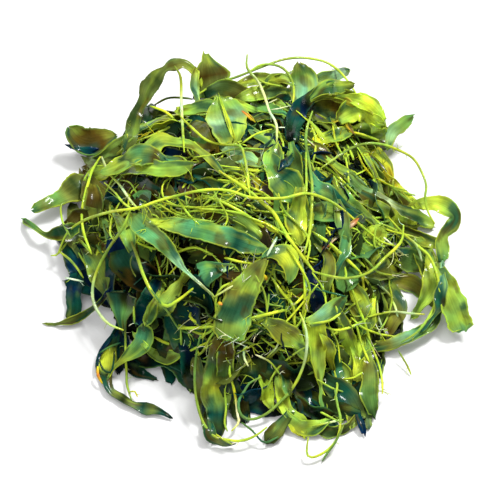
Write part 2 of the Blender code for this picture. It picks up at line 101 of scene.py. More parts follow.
bpy.ops.mesh.primitive_plane_add(size=6.0, location=(0.0, 0.0, 0.0))
bench = bpy.context.object
bench.name = "bench"
bench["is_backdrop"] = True


def new_material(name):
    """An empty node material, its node tree and its output."""
    material = bpy.data.materials.new(name)
    material.use_nodes = True
    material.node_tree.nodes.clear()
    output = material.node_tree.nodes.new("ShaderNodeOutputMaterial")
    return material, material.node_tree, output


def add_node(tree, kind, inputs=(), **settings):
    """Adds a node.  Each of its inputs is given a value, or the socket that feeds it."""
    made = tree.nodes.new(kind)
    for key, value in settings.items():
        setattr(made, key, value)
    for key, value in dict(inputs).items():
        if isinstance(value, bpy.types.NodeSocket):
            tree.links.new(value, made.inputs[key])
        else:
            made.inputs[key].default_value = value
    return made


white, tree, output = new_material("white_bench")
matt = add_node(tree, "ShaderNodeBsdfDiffuse", {"Color": (BENCH_WHITE, BENCH_WHITE, BENCH_WHITE, 1.0)})
path = add_node(tree, "ShaderNodeLightPath")
seen_by = {0: path.outputs["Is Camera Ray"], 1: path.outputs["Is Glossy Ray"]}
seen = add_node(tree, "ShaderNodeMath", seen_by, operation="MAXIMUM")
strength = add_node(tree, "ShaderNodeMath", {0: seen.outputs[0], 1: BENCH_GLOW}, operation="MULTIPLY")
glow = add_node(tree, "ShaderNodeEmission", {"Color": (1.0, 1.0, 1.0, 1.0), "Strength": strength.outputs[0]})
both = add_node(tree, "ShaderNodeAddShader", {0: matt.outputs[0], 1: glow.outputs[0]})
tree.links.new(both.outputs[0], output.inputs["Surface"])
bench.data.materials.append(white)

world = bpy.data.worlds.new("studio")
world.use_nodes = True
world.node_tree.nodes["Background"].inputs["Color"].default_value = (1.0, 1.0, 1.0, 1.0)
world.node_tree.nodes["Background"].inputs["Strength"].default_value = ROOM_LIGHT
bpy.context.scene.world = world


def soft_lamp(name, place, size, power):
    """A square lamp that faces the heap."""
    data = bpy.data.lights.new(name, "AREA")
    data.size = size
    data.energy = power
    lamp = bpy.data.objects.new(name, data)
    bpy.context.collection.objects.link(lamp)
    lamp.location = place
    lamp.rotation_euler = (Vector(place) * -1.0).to_track_quat("-Z", "Y").to_euler()
    return lamp


soft_lamp("key_lamp", place=(0.55, 0.6, 1.25), size=0.34, power=29.0)
overhead = soft_lamp("overhead_lamp", place=(-0.3, 0.1, 1.45), size=1.3, power=15.0)
overhead.visible_glossy = False
fill = soft_lamp("fill_lamp", place=(-0.5, -1.0, 0.9), size=1.0, power=6.5)
fill.visible_glossy = False

# ---------------------------------------------------------------- the rhizoid tangle
# The heart of the heap is one dense mat of old runners, root threads and torn blades, dark partly in
# their own colour and partly as painted shade.  It grew together as five tufts that only hold on to
# each other, and it stands on the ground.  All of the seaweed has one thin wet skin, glossy and
# mottled, with fine lines along each blade and stem.
HEART = (-5.0, 3.0)
HEART_HALF = (53.0, 57.0)
HEART_HEIGHT = 43.0
HEART_RIM = 3.0
HEART_REACH = (1.08, 1.16, 1.1, 1.04, 1.02, 0.84, 1.02, 1.02)
MAT_SINK = 0.86
TUFTS = ("middle", "east", "north", "west", "south")
WALK_STEP = 2.2
STEM_RADIUS = 0.55
STRAP_THICKNESS = 0.3
SHARP_ANGLE = 1.0
LOWEST_STEM = 1.2
LOWEST_BLADE = 0.8
LOWEST_MAT = 0.3
UV_LENGTH = 10.0
TONES = {
    "bright": (198, 220, 58),
    "lime": (172, 193, 58),
    "grass": (145, 170, 62),
    "leaf": (122, 152, 64),
    "green": (90, 132, 63),
    "olive": (103, 113, 52),
    "moss": (50, 64, 30),
    "brown": (74, 60, 22),
    "teal": (78, 134, 84),
    "deep": (20, 66, 52),
    "navy": (6, 34, 60),
    # black: near-black, used mostly as painted shade for pieces deep in the gaps of the heap.
    "black": (10, 18, 14),
    # waxy: a pale blue-green, partly the blades' own paler tone and partly a painted waxy sheen and
    # highlight.
    "waxy": (134, 176, 122),
    "pale": (206, 224, 160),
    "cream": (232, 232, 186),
    "yellow": (226, 214, 40),
    "mustard": (172, 160, 40),
    "rust": (200, 120, 60),
}


def tone(name):
    """A tone as linear colour."""
    return Vector([(channel / 255.0) ** 2.2 for channel in TONES[name]])


def tone_along(names, share):
    """The colour at a share of the way along a row of tones."""
    names = names.split()
    if len(names) == 1:
        return tone(names[0])
    place = min(max(share, 0.0), 1.0) * (len(names) - 1)
    first = min(int(place), len(names) - 2)
    return tone(names[first]).lerp(tone(names[first + 1]), place - first)


# how far the skin is stained, in patches, from brownish to bluish
BROWNED = (1.12, 0.97, 0.8)
BLUED = (0.82, 1.05, 1.3)


def speckle(tree, place, scale, detail, **more):
    """A noise pattern on the places that are given."""
    return add_node(tree, "ShaderNodeTexNoise", {"Scale": scale, "Detail": detail, "Vector": place, **more})


def spread(tree, pattern, low, high):
    """Stretches the middle of a pattern's range, so that it runs from low to high."""
    ends = {"From Min": 0.3, "From Max": 0.7, "To Min": low, "To Max": high}
    return add_node(tree, "ShaderNodeMapRange", {**ends, "Value": pattern.outputs["Fac"]}).outputs["Result"]


def wet_skin(name, roughness, line_scale, line_depth, mottle_scale):
    """Glossy wet skin: mottled tone, fine lines along the piece and a shallow uneven surface."""
    material, tree, output = new_material(name)
    tint = add_node(tree, "ShaderNodeAttribute", attribute_name="Tint")
    where = add_node(tree, "ShaderNodeTexCoord")
    along = {"Scale": (line_scale, 0.6, 1.0), "Vector": where.outputs["UV"]}
    stretch = add_node(tree, "ShaderNodeMapping", along)
    lines = speckle(tree, stretch.outputs["Vector"], 1.0, 3.0)
    mottle = speckle(tree, where.outputs["Object"], mottle_scale, 4.0)
    patches = speckle(tree, where.outputs["Object"], 0.55 * mottle_scale, 3.0)
    lights = {0: spread(tree, lines, 1.0 - line_depth, 1.0 + line_depth), 1: spread(tree, mottle, 0.72, 1.22)}
    light = add_node(tree, "ShaderNodeMath", lights, operation="MULTIPLY")
    range_ends = {"From Min": (0.34,) * 3, "From Max": (0.66,) * 3, "To Min": BROWNED, "To Max": BLUED}
    stains = {**range_ends, "Vector": patches.outputs["Fac"]}
    cast = add_node(tree, "ShaderNodeMapRange", stains, data_type="FLOAT_VECTOR")
    both = {0: tint.outputs["Color"], 1: cast.outputs["Vector"]}
    stained = add_node(tree, "ShaderNodeVectorMath", both, operation="MULTIPLY")
    lit = {0: stained.outputs["Vector"], "Scale": light.outputs[0]}
    shade = add_node(tree, "ShaderNodeVectorMath", lit, operation="SCALE")
    grooves = {"Strength": 0.35, "Distance": 0.0003, "Height": lines.outputs["Fac"]}
    bump = add_node(tree, "ShaderNodeBump", grooves)
    shader = add_node(tree, "ShaderNodeBsdfPrincipled", {
        "Base Color": shade.outputs["Vector"],
        "Roughness": spread(tree, mottle, roughness - 0.06, roughness + 0.12),
        "Normal": bump.outputs["Normal"],
        "Specular IOR Level": 0.06,
        "Coat Weight": 0.2,
        "Coat Roughness": 0.06,
    })
    tree.links.new(shader.outputs[0], output.inputs["Surface"])
    return material


blade_skin = wet_skin("wet_blade", roughness=0.24, line_scale=16.0, line_depth=0.2, mottle_scale=160.0)
stem_skin = wet_skin("wet_stem", roughness=0.28, line_scale=2.0, line_depth=0.1, mottle_scale=260.0)


def heart_reach(angle):
    """How far the heart reaches one way: more at its far right side, less at its near left."""
    place = (angle / (2.0 * math.pi) * len(HEART_REACH)) % len(HEART_REACH)
    first = int(place)
    share = 0.5 - 0.5 * math.cos(math.pi * (place - first))
    return HEART_REACH[first] + (HEART_REACH[(first + 1) % len(HEART_REACH)] - HEART_REACH[first]) * share


def heart_surface():
    """The rounded outside of the heart, down to the ground, as a tree of triangles."""
    rings, sides = 28, 72
    points, faces = [], []
    for ring in range(rings + 2):
        share = math.sin(0.5 * math.pi * min(ring, rings) / rings)
        height = HEART_RIM + (HEART_HEIGHT - HEART_RIM) * max(0.0, 1.0 - share * share) ** 0.8
        for side in range(sides):
            angle = 2.0 * math.pi * side / sides
            far = share * heart_reach(angle)
            x = HEART[0] + HEART_HALF[0] * far * math.cos(angle)
            y = HEART[1] + HEART_HALF[1] * far * math.sin(angle)
            points.append(Vector((x, y, height if ring <= rings else 0.0)))
    for ring in range(rings + 1):
        for side in range(sides):
            beside = (side + 1) % sides
            a, b = ring * sides, (ring + 1) * sides
            faces.append((a + side, b + side, b + beside))
            faces.append((a + side, b + beside, a + beside))
    return BVHTree.FromPolygons(points, faces)


def surface_of(items):
    """One tree of the triangles of some objects, in millimetres."""
    points, faces = [], []
    for item in items:
        first = len(points)
        points += [vertex.co / MM for vertex in item.data.vertices]
        faces += [[first + corner for corner in face.vertices] for face in item.data.polygons]
    return BVHTree.FromPolygons(points, faces)


heart = heart_surface()
tuft_surfaces = {name: surface_of([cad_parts["rhizoid_tuft_" + name]]) for name in TUFTS}


def nearest_tuft(place):
    """The name of the tuft that a place belongs to."""
    return min(TUFTS, key=lambda name: tuft_surfaces[name].find_nearest(place)[3])


def paint(mesh, colours):
    """Sets the tone at each corner of a mesh."""
    layer = mesh.attributes.new("Tint", "FLOAT_COLOR", "POINT")
    flat = []
    for colour in colours:
        flat += [max(0.0, colour[0]), max(0.0, colour[1]), max(0.0, colour[2]), 1.0]
    layer.data.foreach_set("color", flat)


def tube(name, runs, sides=8):
    """One mesh of round stems.  Each run is a list of (point, radius, colour) in millimetres."""
    data = bpy.data.curves.new(name, "CURVE")
    data.dimensions = "3D"
    data.bevel_depth = MM
    data.bevel_resolution = (sides - 4) // 2
    for run in runs:
        line = data.splines.new("POLY")
        line.points.add(len(run) - 1)
        for spot, (place, radius, _) in zip(line.points, run):
            spot.co = (*(place * MM), 1.0)
            spot.radius = radius
    piece = bpy.data.objects.new(name, data)
    bpy.context.collection.objects.link(piece)
    piece.select_set(True)
    bpy.context.view_layer.objects.active = piece
    bpy.ops.object.convert(target="MESH")
    mesh = piece.data
    rings = [colour for run in runs for _, _, colour in run]
    paint(mesh, [rings[index // sides] for index in range(len(mesh.vertices))])
    mesh.shade_smooth()
    mesh.materials.clear()
    mesh.materials.append(stem_skin)
    piece.select_set(False)
    return piece


def close_ends(run):
    """Rounds off both ends of a stem."""
    first, last = run[0], run[-1]
    start = first[0] - (run[1][0] - first[0]).normalized() * first[1] * 0.5
    end = last[0] + (last[0] - run[-2][0]).normalized() * last[1] * 0.5
    return [(start, first[1] * 0.08, first[2])] + run + [(end, last[1] * 0.08, last[2])]


def any_spot(dice):
    """Somewhere on the outside of the heart, evenly over its top and its sides."""
    turn, rise = dice.uniform(0.0, 2.0 * math.pi), dice.uniform(0.02, 1.0)
    level = math.sqrt(1.0 - rise * rise)
    heading = Vector((math.cos(turn) * level, math.sin(turn) * level, rise))
    return heart.ray_cast(Vector((HEART[0], HEART[1], 1.0)), heading)[0]


def ramble(dice, length, curl, lift, sway):
    """A wandering line over the heart: places and the directions that point out of it."""
    spot = any_spot(dice)
    normal = heart.find_nearest(spot)[1]
    heading = normal.orthogonal()
    heading.rotate(Quaternion(normal, dice.uniform(0.0, 6.3)))
    phase = dice.uniform(0.0, 90.0)
    places, normals = [], []
    for index in range(max(4, round(length / WALK_STEP)) + 1):
        wander = curl + 0.28 * noise.noise(Vector((index * 0.22, phase, 1.0)))
        heading.rotate(Quaternion(normal, wander * WALK_STEP))
        spot, facing, _, _ = heart.find_nearest(spot + heading * WALK_STEP)
        normal = (normal * 0.6 + facing * 0.4).normalized()
        heading = (heading - normal * heading.dot(normal)).normalized()
        height = lift + sway * noise.noise(Vector((index * 0.25, phase, 7.0)))
        place = spot + normal * height
        place.z = max(place.z, LOWEST_STEM)
        places.append(place)
        normals.append(normal.copy())
    return places, normals


def wandering_stems(dice, count, lengths, lift, sway, radii, tones):
    """Stems that run every way over the heart, sorted by the tuft that they belong to."""
    runs = {name: [] for name in TUFTS}
    for _ in range(count):
        curl = dice.uniform(-0.075, 0.075)
        places, _ = ramble(dice, dice.uniform(*lengths), curl, dice.uniform(*lift), sway)
        radius = dice.uniform(*radii)
        ends = dice.sample(tones, 2)
        last = len(places) - 1
        run = []
        for index, place in enumerate(places):
            colour = tone(ends[0]).lerp(tone(ends[1]), index / last) * dice.uniform(0.85, 1.15)
            run.append((place, radius * dice.uniform(0.9, 1.1), colour))
        runs[nearest_tuft(places[last // 2])].append(close_ends(run))
    return runs


def thicken(sheet, thickness):
    """Gives a sheet its thickness."""
    bpy.context.view_layer.objects.active = sheet
    wall = sheet.modifiers.new("wall", "SOLIDIFY")
    wall.thickness = thickness * MM
    wall.offset = 0.0
    bpy.ops.object.modifier_apply(modifier=wall.name)
    sheet.data.set_sharp_from_angle(angle=SHARP_ANGLE)
    sheet.select_set(False)


def straps(name, blades):
    """One mesh of many small blades.  Each blade is rows of (point, u, v, colour)."""
    points, faces, colours, spots = [], [], [], []
    for rows in blades:
        first, wide = len(points), len(rows[0])
        for row in rows:
            for place, u, v, colour in row:
                points.append(place * MM)
                colours.append(colour)
                spots.append((u, v))
        for row in range(len(rows) - 1):
            for column in range(wide - 1):
                corner = first + row * wide + column
                faces.append((corner, corner + 1, corner + wide + 1, corner + wide))
    mesh = bpy.data.meshes.new(name)
    mesh.from_pydata(points, [], faces)
    layer = mesh.uv_layers.new(name="Along")
    for loop in mesh.loops:
        layer.data[loop.index].uv = spots[loop.vertex_index]
    paint(mesh, colours)
    mesh.shade_smooth()
    mesh.materials.append(blade_skin)
    piece = bpy.data.objects.new(name, mesh)
    bpy.context.collection.objects.link(piece)
    thicken(piece, STRAP_THICKNESS)
    return piece


def wandering_blades(dice, count, lengths, lift, halves, tones):
    """Torn blades that lie every way in the heart, half sunk in it."""
    blades = {name: [] for name in TUFTS}
    for _ in range(count):
        curl = dice.uniform(-0.05, 0.05)
        places, normals = ramble(dice, dice.uniform(*lengths), curl, dice.uniform(*lift), 3.0)
        half, tilt = dice.uniform(*halves), dice.uniform(-1.0, 1.0)
        twist, phase = dice.uniform(-1.2, 1.2), dice.uniform(0.0, 9.0)
        ends = dice.sample(tones, 2)
        last = len(places) - 1
        rows = []
        for index, (place, normal) in enumerate(zip(places, normals)):
            share = index / last
            along = (places[min(last, index + 1)] - places[max(0, index - 1)]).normalized()
            side = normal.cross(along).normalized()
            side.rotate(Quaternion(along, tilt + twist * share))
            out = along.cross(side)
            wide = half * max(0.12, math.sin(math.pi * (0.06 + 0.88 * share)) ** 0.7)
            row = []
            for column in range(5):
                across = column / 2.0 - 1.0
                ripple = 0.9 * across * across * math.sin(index * 1.5 + phase + across)
                spot = place + side * across * wide + out * (ripple + 0.25 * abs(across) * wide)
                spot.z = max(spot.z, LOWEST_BLADE)
                # Painted light and shade: each buried blade is darker down its middle and brighter towards
                # its edges, as a lit rim.
                colour = tone(ends[0]).lerp(tone(ends[1]), share) * (0.8 + 0.5 * abs(across))
                row.append((spot, 0.5 + 0.5 * across, index * WALK_STEP / UV_LENGTH, colour))
            rows.append(row)
        blades[nearest_tuft(places[last // 2])].append(rows)
    return blades


def tuft_mat(name):
    """The dense body of one tuft, a little inside its solid, dark partly in its own colour and partly as
    painted shade.
    """
    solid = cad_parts["rhizoid_tuft_" + name]
    mesh = solid.data.copy()
    piece = bpy.data.objects.new("tangle_" + name + "_mat", mesh)
    bpy.context.collection.objects.link(piece)
    bpy.context.view_layer.objects.active = piece
    for vertex in mesh.vertices:
        x, y, z = vertex.co / MM
        x = HEART[0] + (x - HEART[0]) * (MAT_SINK + 0.03)
        y = HEART[1] + (y - HEART[1]) * (MAT_SINK + 0.03)
        vertex.co = Vector((x, y, z * MAT_SINK)) * MM
    rounding = piece.modifiers.new("finer", "SUBSURF")
    rounding.subdivision_type = "SIMPLE"
    rounding.levels = 3
    rounding.render_levels = 3
    bpy.ops.object.modifier_apply(modifier=rounding.name)
    for vertex in piece.data.vertices:
        spot = vertex.co / MM
        lump = noise.noise(spot * 0.35) + 0.6 * noise.noise(spot * 0.9)
        outward = (spot - Vector((HEART[0], HEART[1], 4.0))).normalized()
        spot += outward * lump * 1.3
        vertex.co = Vector((spot.x, spot.y, max(LOWEST_MAT, spot.z))) * MM
    piece.data.shade_smooth()
    piece.data.materials.clear()
    piece.data.materials.append(mat_painted_shade_skin)
    return piece


def matted_skin():
    """Dark packed fibres, near-black partly as painted shade, with paler ones running through them."""
    material, tree, output = new_material("matted_threads_painted_shade")
    where = add_node(tree, "ShaderNodeTexCoord")
    fibres = speckle(tree, where.outputs["Object"], 320.0, 2.0, Distortion=3.0)
    ramp = add_node(tree, "ShaderNodeValToRGB", {"Fac": fibres.outputs["Fac"]})
    stops = ramp.color_ramp.elements
    stops[0].position, stops[1].position = 0.42, 0.72
    # Painted shade: the near-black stops darken the mat as the deep gaps of the heap are shaded.
    stops[0].color = (*(tone("black") * 0.5), 1.0)
    stops[1].color = (*tone("moss"), 1.0)
    middle = stops.new(0.6)
    middle.color = (*tone("black"), 1.0)
    bump = add_node(tree, "ShaderNodeBump", {"Distance": 0.001, "Height": fibres.outputs["Fac"]})
    shader = add_node(tree, "ShaderNodeBsdfPrincipled", {
        "Base Color": ramp.outputs["Color"],
        "Normal": bump.outputs["Normal"],
        "Roughness": 0.6,
        "Specular IOR Level": 0.1,
    })
    tree.links.new(shader.outputs[0], output.inputs["Surface"])
    return material


mat_painted_shade_skin = matted_skin()
growth = random.Random(41)
# Painted shade: the buried blades get mostly near-black, navy and moss tones, for the shade deep in the heap.
deep_blades = wandering_blades(
    growth, count=300, lengths=(12.0, 28.0), lift=(-5.0, 1.0), halves=(2.4, 5.0),
    tones=["moss", "olive", "brown", "deep", "navy", "black", "black", "moss", "green"],
)
# The old stems lie lower and are darker, partly in their own colour and partly as painted shade.
old_stems = wandering_stems(
    growth, count=240, lengths=(30.0, 90.0), lift=(-6.0, -1.5), sway=2.5, radii=(0.4, 0.65),
    tones=["olive", "moss", "black", "brown", "deep", "green"],
)
young_stems = wandering_stems(
    growth, count=104, lengths=(34.0, 95.0), lift=(-1.5, 1.2), sway=2.5, radii=(0.3, 0.5),
    tones=["bright", "lime", "lime", "grass", "leaf"],
)
threads = wandering_stems(
    growth, count=260, lengths=(8.0, 30.0), lift=(-3.5, 0.4), sway=2.5, radii=(0.14, 0.26),
    tones=["lime", "grass", "pale", "olive", "brown", "moss", "leaf"],
)
for tuft in TUFTS:
    parts = [
        (tuft_mat(tuft), "rhizoid_tangle"),
        (straps("tangle_" + tuft + "_blades", deep_blades[tuft]), "frond_olive"),
        (tube("tangle_" + tuft + "_stems", old_stems[tuft] + young_stems[tuft], 6), "runner"),
        (tube("tangle_" + tuft + "_threads", threads[tuft], 4), "rhizoid_tangle"),
    ]
    for piece, finish in parts:
        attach(piece, "root")
        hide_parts("rhizoid_tuft_" + tuft)

# ---------------------------------------------------------------- the blades
# A blade is a thin strap on a short stalk, wavy at its edges, that narrows and widens again
# where it has grown on from its own tip.  Each large one lies where its solid lies.
BLADE_THICKNESS = 0.4
BLADE_STEP = 0.9
SLIMMEST = 0.35
LOWEST_RIM = 0.6
REACH = 200.0
LEAN_PROBE = 0.6


def smooth_route(points, step):
    """Stations along a smooth curve through given points of any number of columns."""
    rows = [[float(value) for value in point] for point in points]
    rows = [[2 * a - b for a, b in zip(rows[0], rows[1])]] + rows
    rows = rows + [[2 * a - b for a, b in zip(rows[-1], rows[-2])]]
    fine, parts = [], 12
    for before, start, end, after in zip(rows, rows[1:], rows[2:], rows[3:]):
        for part in range(parts):
            t = part / parts
            row = []
            for p, q, r, s in zip(before, start, end, after):
                bend = (2 * p - 5 * q + 4 * r - s) * t * t + (3 * q - p - 3 * r + s) * t**3
                row.append(q + 0.5 * ((r - p) * t + bend))
            fine.append(row)
    fine.append(rows[-2])
    walked = [0.0]
    for a, b in zip(fine, fine[1:]):
        walked.append(walked[-1] + math.dist(a[:2], b[:2]))
    count = max(4, round(walked[-1] / step))
    stations, place = [], 0
    for index in range(count + 1):
        goal = walked[-1] * index / count
        while place < len(fine) - 2 and walked[place + 1] < goal:
            place += 1
        share = (goal - walked[place]) / max(1e-9, walked[place + 1] - walked[place])
        stations.append([a + (b - a) * share for a, b in zip(fine[place], fine[place + 1])])
    return stations


def directions_across(stations):
    """The direction across the route at each of its stations."""
    result = []
    last = len(stations) - 1
    for index in range(len(stations)):
        before, after = stations[max(0, index - 1)], stations[min(last, index + 1)]
        along = Vector((after[0] - before[0], after[1] - before[1])).normalized()
        result.append(Vector((-along.y, along.x)))
    return result


def middle_depth(surface, board, u, v):
    """The depth of the middle of a solid under a point of the board, or None beside it."""
    top = surface.ray_cast(board.point(u, v, REACH), -board.out, 2 * REACH)[3]
    low = surface.ray_cast(board.point(u, v, -REACH), board.out, 2 * REACH)[3]
    if top is None or low is None:
        return None
    return 0.5 * ((REACH - top) + (low - REACH))


def fill_gaps(values):
    """Replaces each None by a value in line with its neighbours."""
    known = [index for index, value in enumerate(values) if value is not None]
    result = []
    for index in range(len(values)):
        before = max((k for k in known if k <= index), default=known[0])
        after = min((k for k in known if k >= index), default=known[-1])
        share = 0.0 if before == after else (index - before) / (after - before)
        result.append(values[before] + (values[after] - values[before]) * share)
    return result


def ease(values, passes):
    """Smooths a row of values, a little more with each pass."""
    for _ in range(passes):
        padded = [values[0]] + values + [values[-1]]
        values = [(a + 2 * b + c) / 4 for a, b, c in zip(padded, padded[1:], padded[2:])]
    return values


def lie_on_node(node, board, stations, across, widths):
    """The depth and the lean of each station, read off the solid that the piece stands for."""
    surface = surface_of([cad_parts[node]])
    depths, leans = [], []
    for row, side, half in zip(stations, across, widths):
        spot = Vector(row[:2])
        depths.append(middle_depth(surface, board, spot.x, spot.y))
        near = spot + side * half * LEAN_PROBE
        far = spot - side * half * LEAN_PROBE
        a = middle_depth(surface, board, near.x, near.y)
        b = middle_depth(surface, board, far.x, far.y)
        leans.append(None if a is None or b is None else (a - b) / (2 * LEAN_PROBE * half))
    if all(value is None for value in leans):
        leans = [0.0] * len(leans)
    return ease(fill_gaps(depths), 3), ease(fill_gaps(leans), 4)


def rounded_ends(stations, widths, blunt):
    """Draws the width in over the last few millimetres, to a rounded tip at each end."""
    result = []
    last = len(stations) - 1
    step = math.dist(stations[0][:2], stations[1][:2])
    for index, wide in enumerate(widths):
        from_start = index * step / max(1.0, widths[0] * blunt)
        from_end = min(from_start, (last - index) * step / max(1.0, widths[-1] * blunt))
        share = min(1.0, from_end + 0.02)
        result.append(wide * math.sqrt(max(0.0, 1.0 - (1.0 - share) ** 2)))
    return result


def blade_mesh(name, board, stations, across, widths, depths, leans, tones, rim, look):
    """Shapes a grid into one blade, paints it, and gives it its thickness."""
    wave, curl, columns = look.get("wave", 0.8), look.get("curl", 0.1), look.get("columns", 12)
    dice = random.Random(name)
    twist, crease = look.get("twist", dice.uniform(0.15, 0.4)), look.get("crease", dice.uniform(-0.25, 0.3))
    fold = dice.uniform(-0.3, 0.3)
    widths = rounded_ends(stations, widths, look.get("blunt", 0.6))
    rows = len(stations) - 1
    step = math.dist(stations[0][:2], stations[1][:2])
    bpy.ops.mesh.primitive_grid_add(x_subdivisions=columns, y_subdivisions=rows, size=1.0)
    piece = bpy.context.object
    piece.name = name
    mesh = piece.data
    turns = [dice.uniform(0.0, 90.0) for _ in range(8)]
    pitch, roll = dice.uniform(0.75, 1.15), dice.uniform(0.18, 0.28)
    # Painted shade: each blade is made darker towards one side and lighter towards the other.
    painted_side_shade = dice.choice((-1.0, 1.0)) * dice.uniform(0.08, 0.3)
    colours = [None] * len(mesh.vertices)
    layer = mesh.uv_layers.active or mesh.uv_layers.new(name="Along")
    spots = {}
    for vertex in mesh.vertices:
        column = round((vertex.co.x + 0.5) * columns)
        row = round((vertex.co.y + 0.5) * rows)
        share = row / rows
        side = 2.0 * column / columns - 1.0
        walked = row * step
        near = turns[0] if side > 0 else turns[1]
        ragged = 1.0 + 0.3 * noise.noise(Vector((walked * 0.19, near, 0.0)))
        ragged += 0.1 * noise.noise(Vector((walked * 0.7, near, 3.0)))
        x = side * widths[row] * ragged
        edge = abs(side) ** 2.2 * min(1.0, widths[row] / 3.0)
        swing = 0.55 + 0.9 * noise.noise(Vector((walked * 0.1, near, 9.0)))
        ripple = wave * swing * edge * math.sin(walked * pitch + near)
        ripple += 0.8 * wave * noise.noise(Vector((walked * 0.13, side * 0.9, turns[2])))
        angle = math.atan(leans[row]) + twist * math.sin(walked * roll + turns[3])
        offset = curl * x * side + crease * widths[row] * math.sqrt((side - fold) ** 2 + 0.03)
        spot = Vector(stations[row][:2]) + across[row] * (math.cos(angle) * x - math.sin(angle) * offset)
        torn = max(0.0, 1.0 - min(walked, rows * step - walked) / 3.0)
        torn *= 2.4 * noise.noise(Vector((side * 2.2, share * 40.0, turns[7])))
        spot += Vector((across[row].y, -across[row].x)) * torn
        depth = depths[row] + math.sin(angle) * x + math.cos(angle) * offset + ripple
        vertex.co = board.point(spot.x, spot.y, depth) * MM
        colours[vertex.index] = blade_colour(tones, rim, share, side, walked, painted_side_shade, turns)
        spots[vertex.index] = (0.5 + 0.5 * side, walked / UV_LENGTH)
        vertex.co.z = max(vertex.co.z, LOWEST_RIM * MM)
    for loop in mesh.loops:
        layer.data[loop.index].uv = spots[loop.vertex_index]
    paint(mesh, colours)
    mesh.shade_smooth()
    thicken(piece, look.get("thick", BLADE_THICKNESS))
    piece.data.materials.append(blade_skin)
    return piece


def blade_colour(tones, rim, share, side, walked, painted_side_shade, turns):
    """The tone at one place: mottled, with painted shade darker to one side, dark patches, and a rim tone
    whose bright kinds are painted light on the thin lit edge.
    """
    colour = tone_along(tones, share) * (1.0 + painted_side_shade * side)
    mottle = noise.noise(Vector((walked * 0.2, side * 1.4, turns[4])))
    colour = colour * (1.0 + 0.5 * mottle)
    patch = noise.noise(Vector((walked * 0.12, side * 0.9, turns[5]))) - 0.17
    if patch > 0.0:
        colour = colour.lerp(tone("deep"), min(0.75, patch * 4.0))
    stain = noise.noise(Vector((walked * 0.15, side * 1.1, turns[7]))) - 0.27
    if stain > 0.0:
        colour = colour.lerp(tone("brown"), min(0.6, stain * 4.0))
    glow = noise.noise(Vector((walked * 0.13, side * 1.1, turns[6]))) - 0.25
    if glow > 0.0:
        colour = colour.lerp(tone("lime"), min(0.5, glow * 2.5) * min(1.0, 4.0 * colour.y))
    # The rim tone at the edges is partly a paler edge colour; where it is bright it is painted light on the
    # thin lit edge.
    if rim:
        lit_edge_share = max(0.0, (abs(side) - 0.84) / 0.16) ** 1.5
        colour = colour.lerp(tone(rim), 0.6 * lit_edge_share)
    return colour


def blade(node, tones, route, rim="lime", board=front, **look):
    """One large blade, in place of its solid."""
    stations = smooth_route([point[:3] for point in route], BLADE_STEP)
    across = directions_across(stations)
    widths = [max(SLIMMEST, row[2]) for row in stations]
    depths, leans = lie_on_node(node, board, stations, across, widths)
    depths = [depth + look.get("above", 0.0) for depth in depths]
    piece = blade_mesh(node + "_blade", board, stations, across, widths, depths, leans, tones, rim, look)
    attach(piece, "root")
    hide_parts(node)
    return piece


blade(
    "frond_back_east", "moss olive grass olive",
    [(-54, -20, 1), (-48, -27, 4), (-41, -33, 5), (-33, -37, 4), (-26, -38, 1.5)],
    board=back,
)
blade(
    "frond_back_middle", "deep teal leaf teal",
    [(-18, -18, 1), (-15, -26, 4.5), (-11, -34, 5.5), (-7, -42, 4.5), (-3, -48, 2)],
    board=back,
)
blade(
    "frond_back_west", "olive leaf grass lime",
    [(10, -20, 1), (16, -27, 4), (23, -33, 5), (31, -36, 4), (40, -36, 1.2)],
    rim="bright", board=back,
)
blade(
    "frond_west_navy", "moss deep navy deep",
    [(-68, 5, 1.5), (-65, 0, 3), (-62.5, -6, 3.8), (-61, -11, 3)],
    rim="olive",
)
blade(
    "frond_west_foot", "deep navy deep moss",
    [(-62, -9, 3), (-63.5, -15, 3.2), (-63.5, -21, 3), (-65, -25.5, 1.5)],
    rim="deep",
)
blade(
    "frond_dark_fan", "moss green green moss black",
    [(-45, -29, 0.8), (-45.3, -24, 2.8), (-44.6, -19.5, 5.8), (-43.8, -15.5, 7.8)],
    rim="olive", blunt=0.15,
)
blade(
    "frond_north_olive", "green olive brown olive leaf",
    [(-12.5, 56, 5), (-14.3, 61, 7), (-15.3, 66, 5.4), (-16.6, 71.5, 0.8)],
)
# Painted highlight: the waxy middle of this blade is partly its own paler tone and partly a glossy white
# patch.
blade(
    "frond_north_waxy", "green waxy waxy green olive",
    [(18.5, 52, 2.5), (19.5, 57, 5.6), (19.5, 62.5, 5.2), (18, 68, 2)],
)
blade(
    "frond_east_shoulder", "leaf lime lime bright lime",
    [(32, 47.5, 2), (36.5, 50.5, 4.5), (40.5, 51.3, 5.5), (45, 48.8, 4), (49.3, 45, 1.5)],
    rim="bright", wave=1.9, crease=0.1,
)
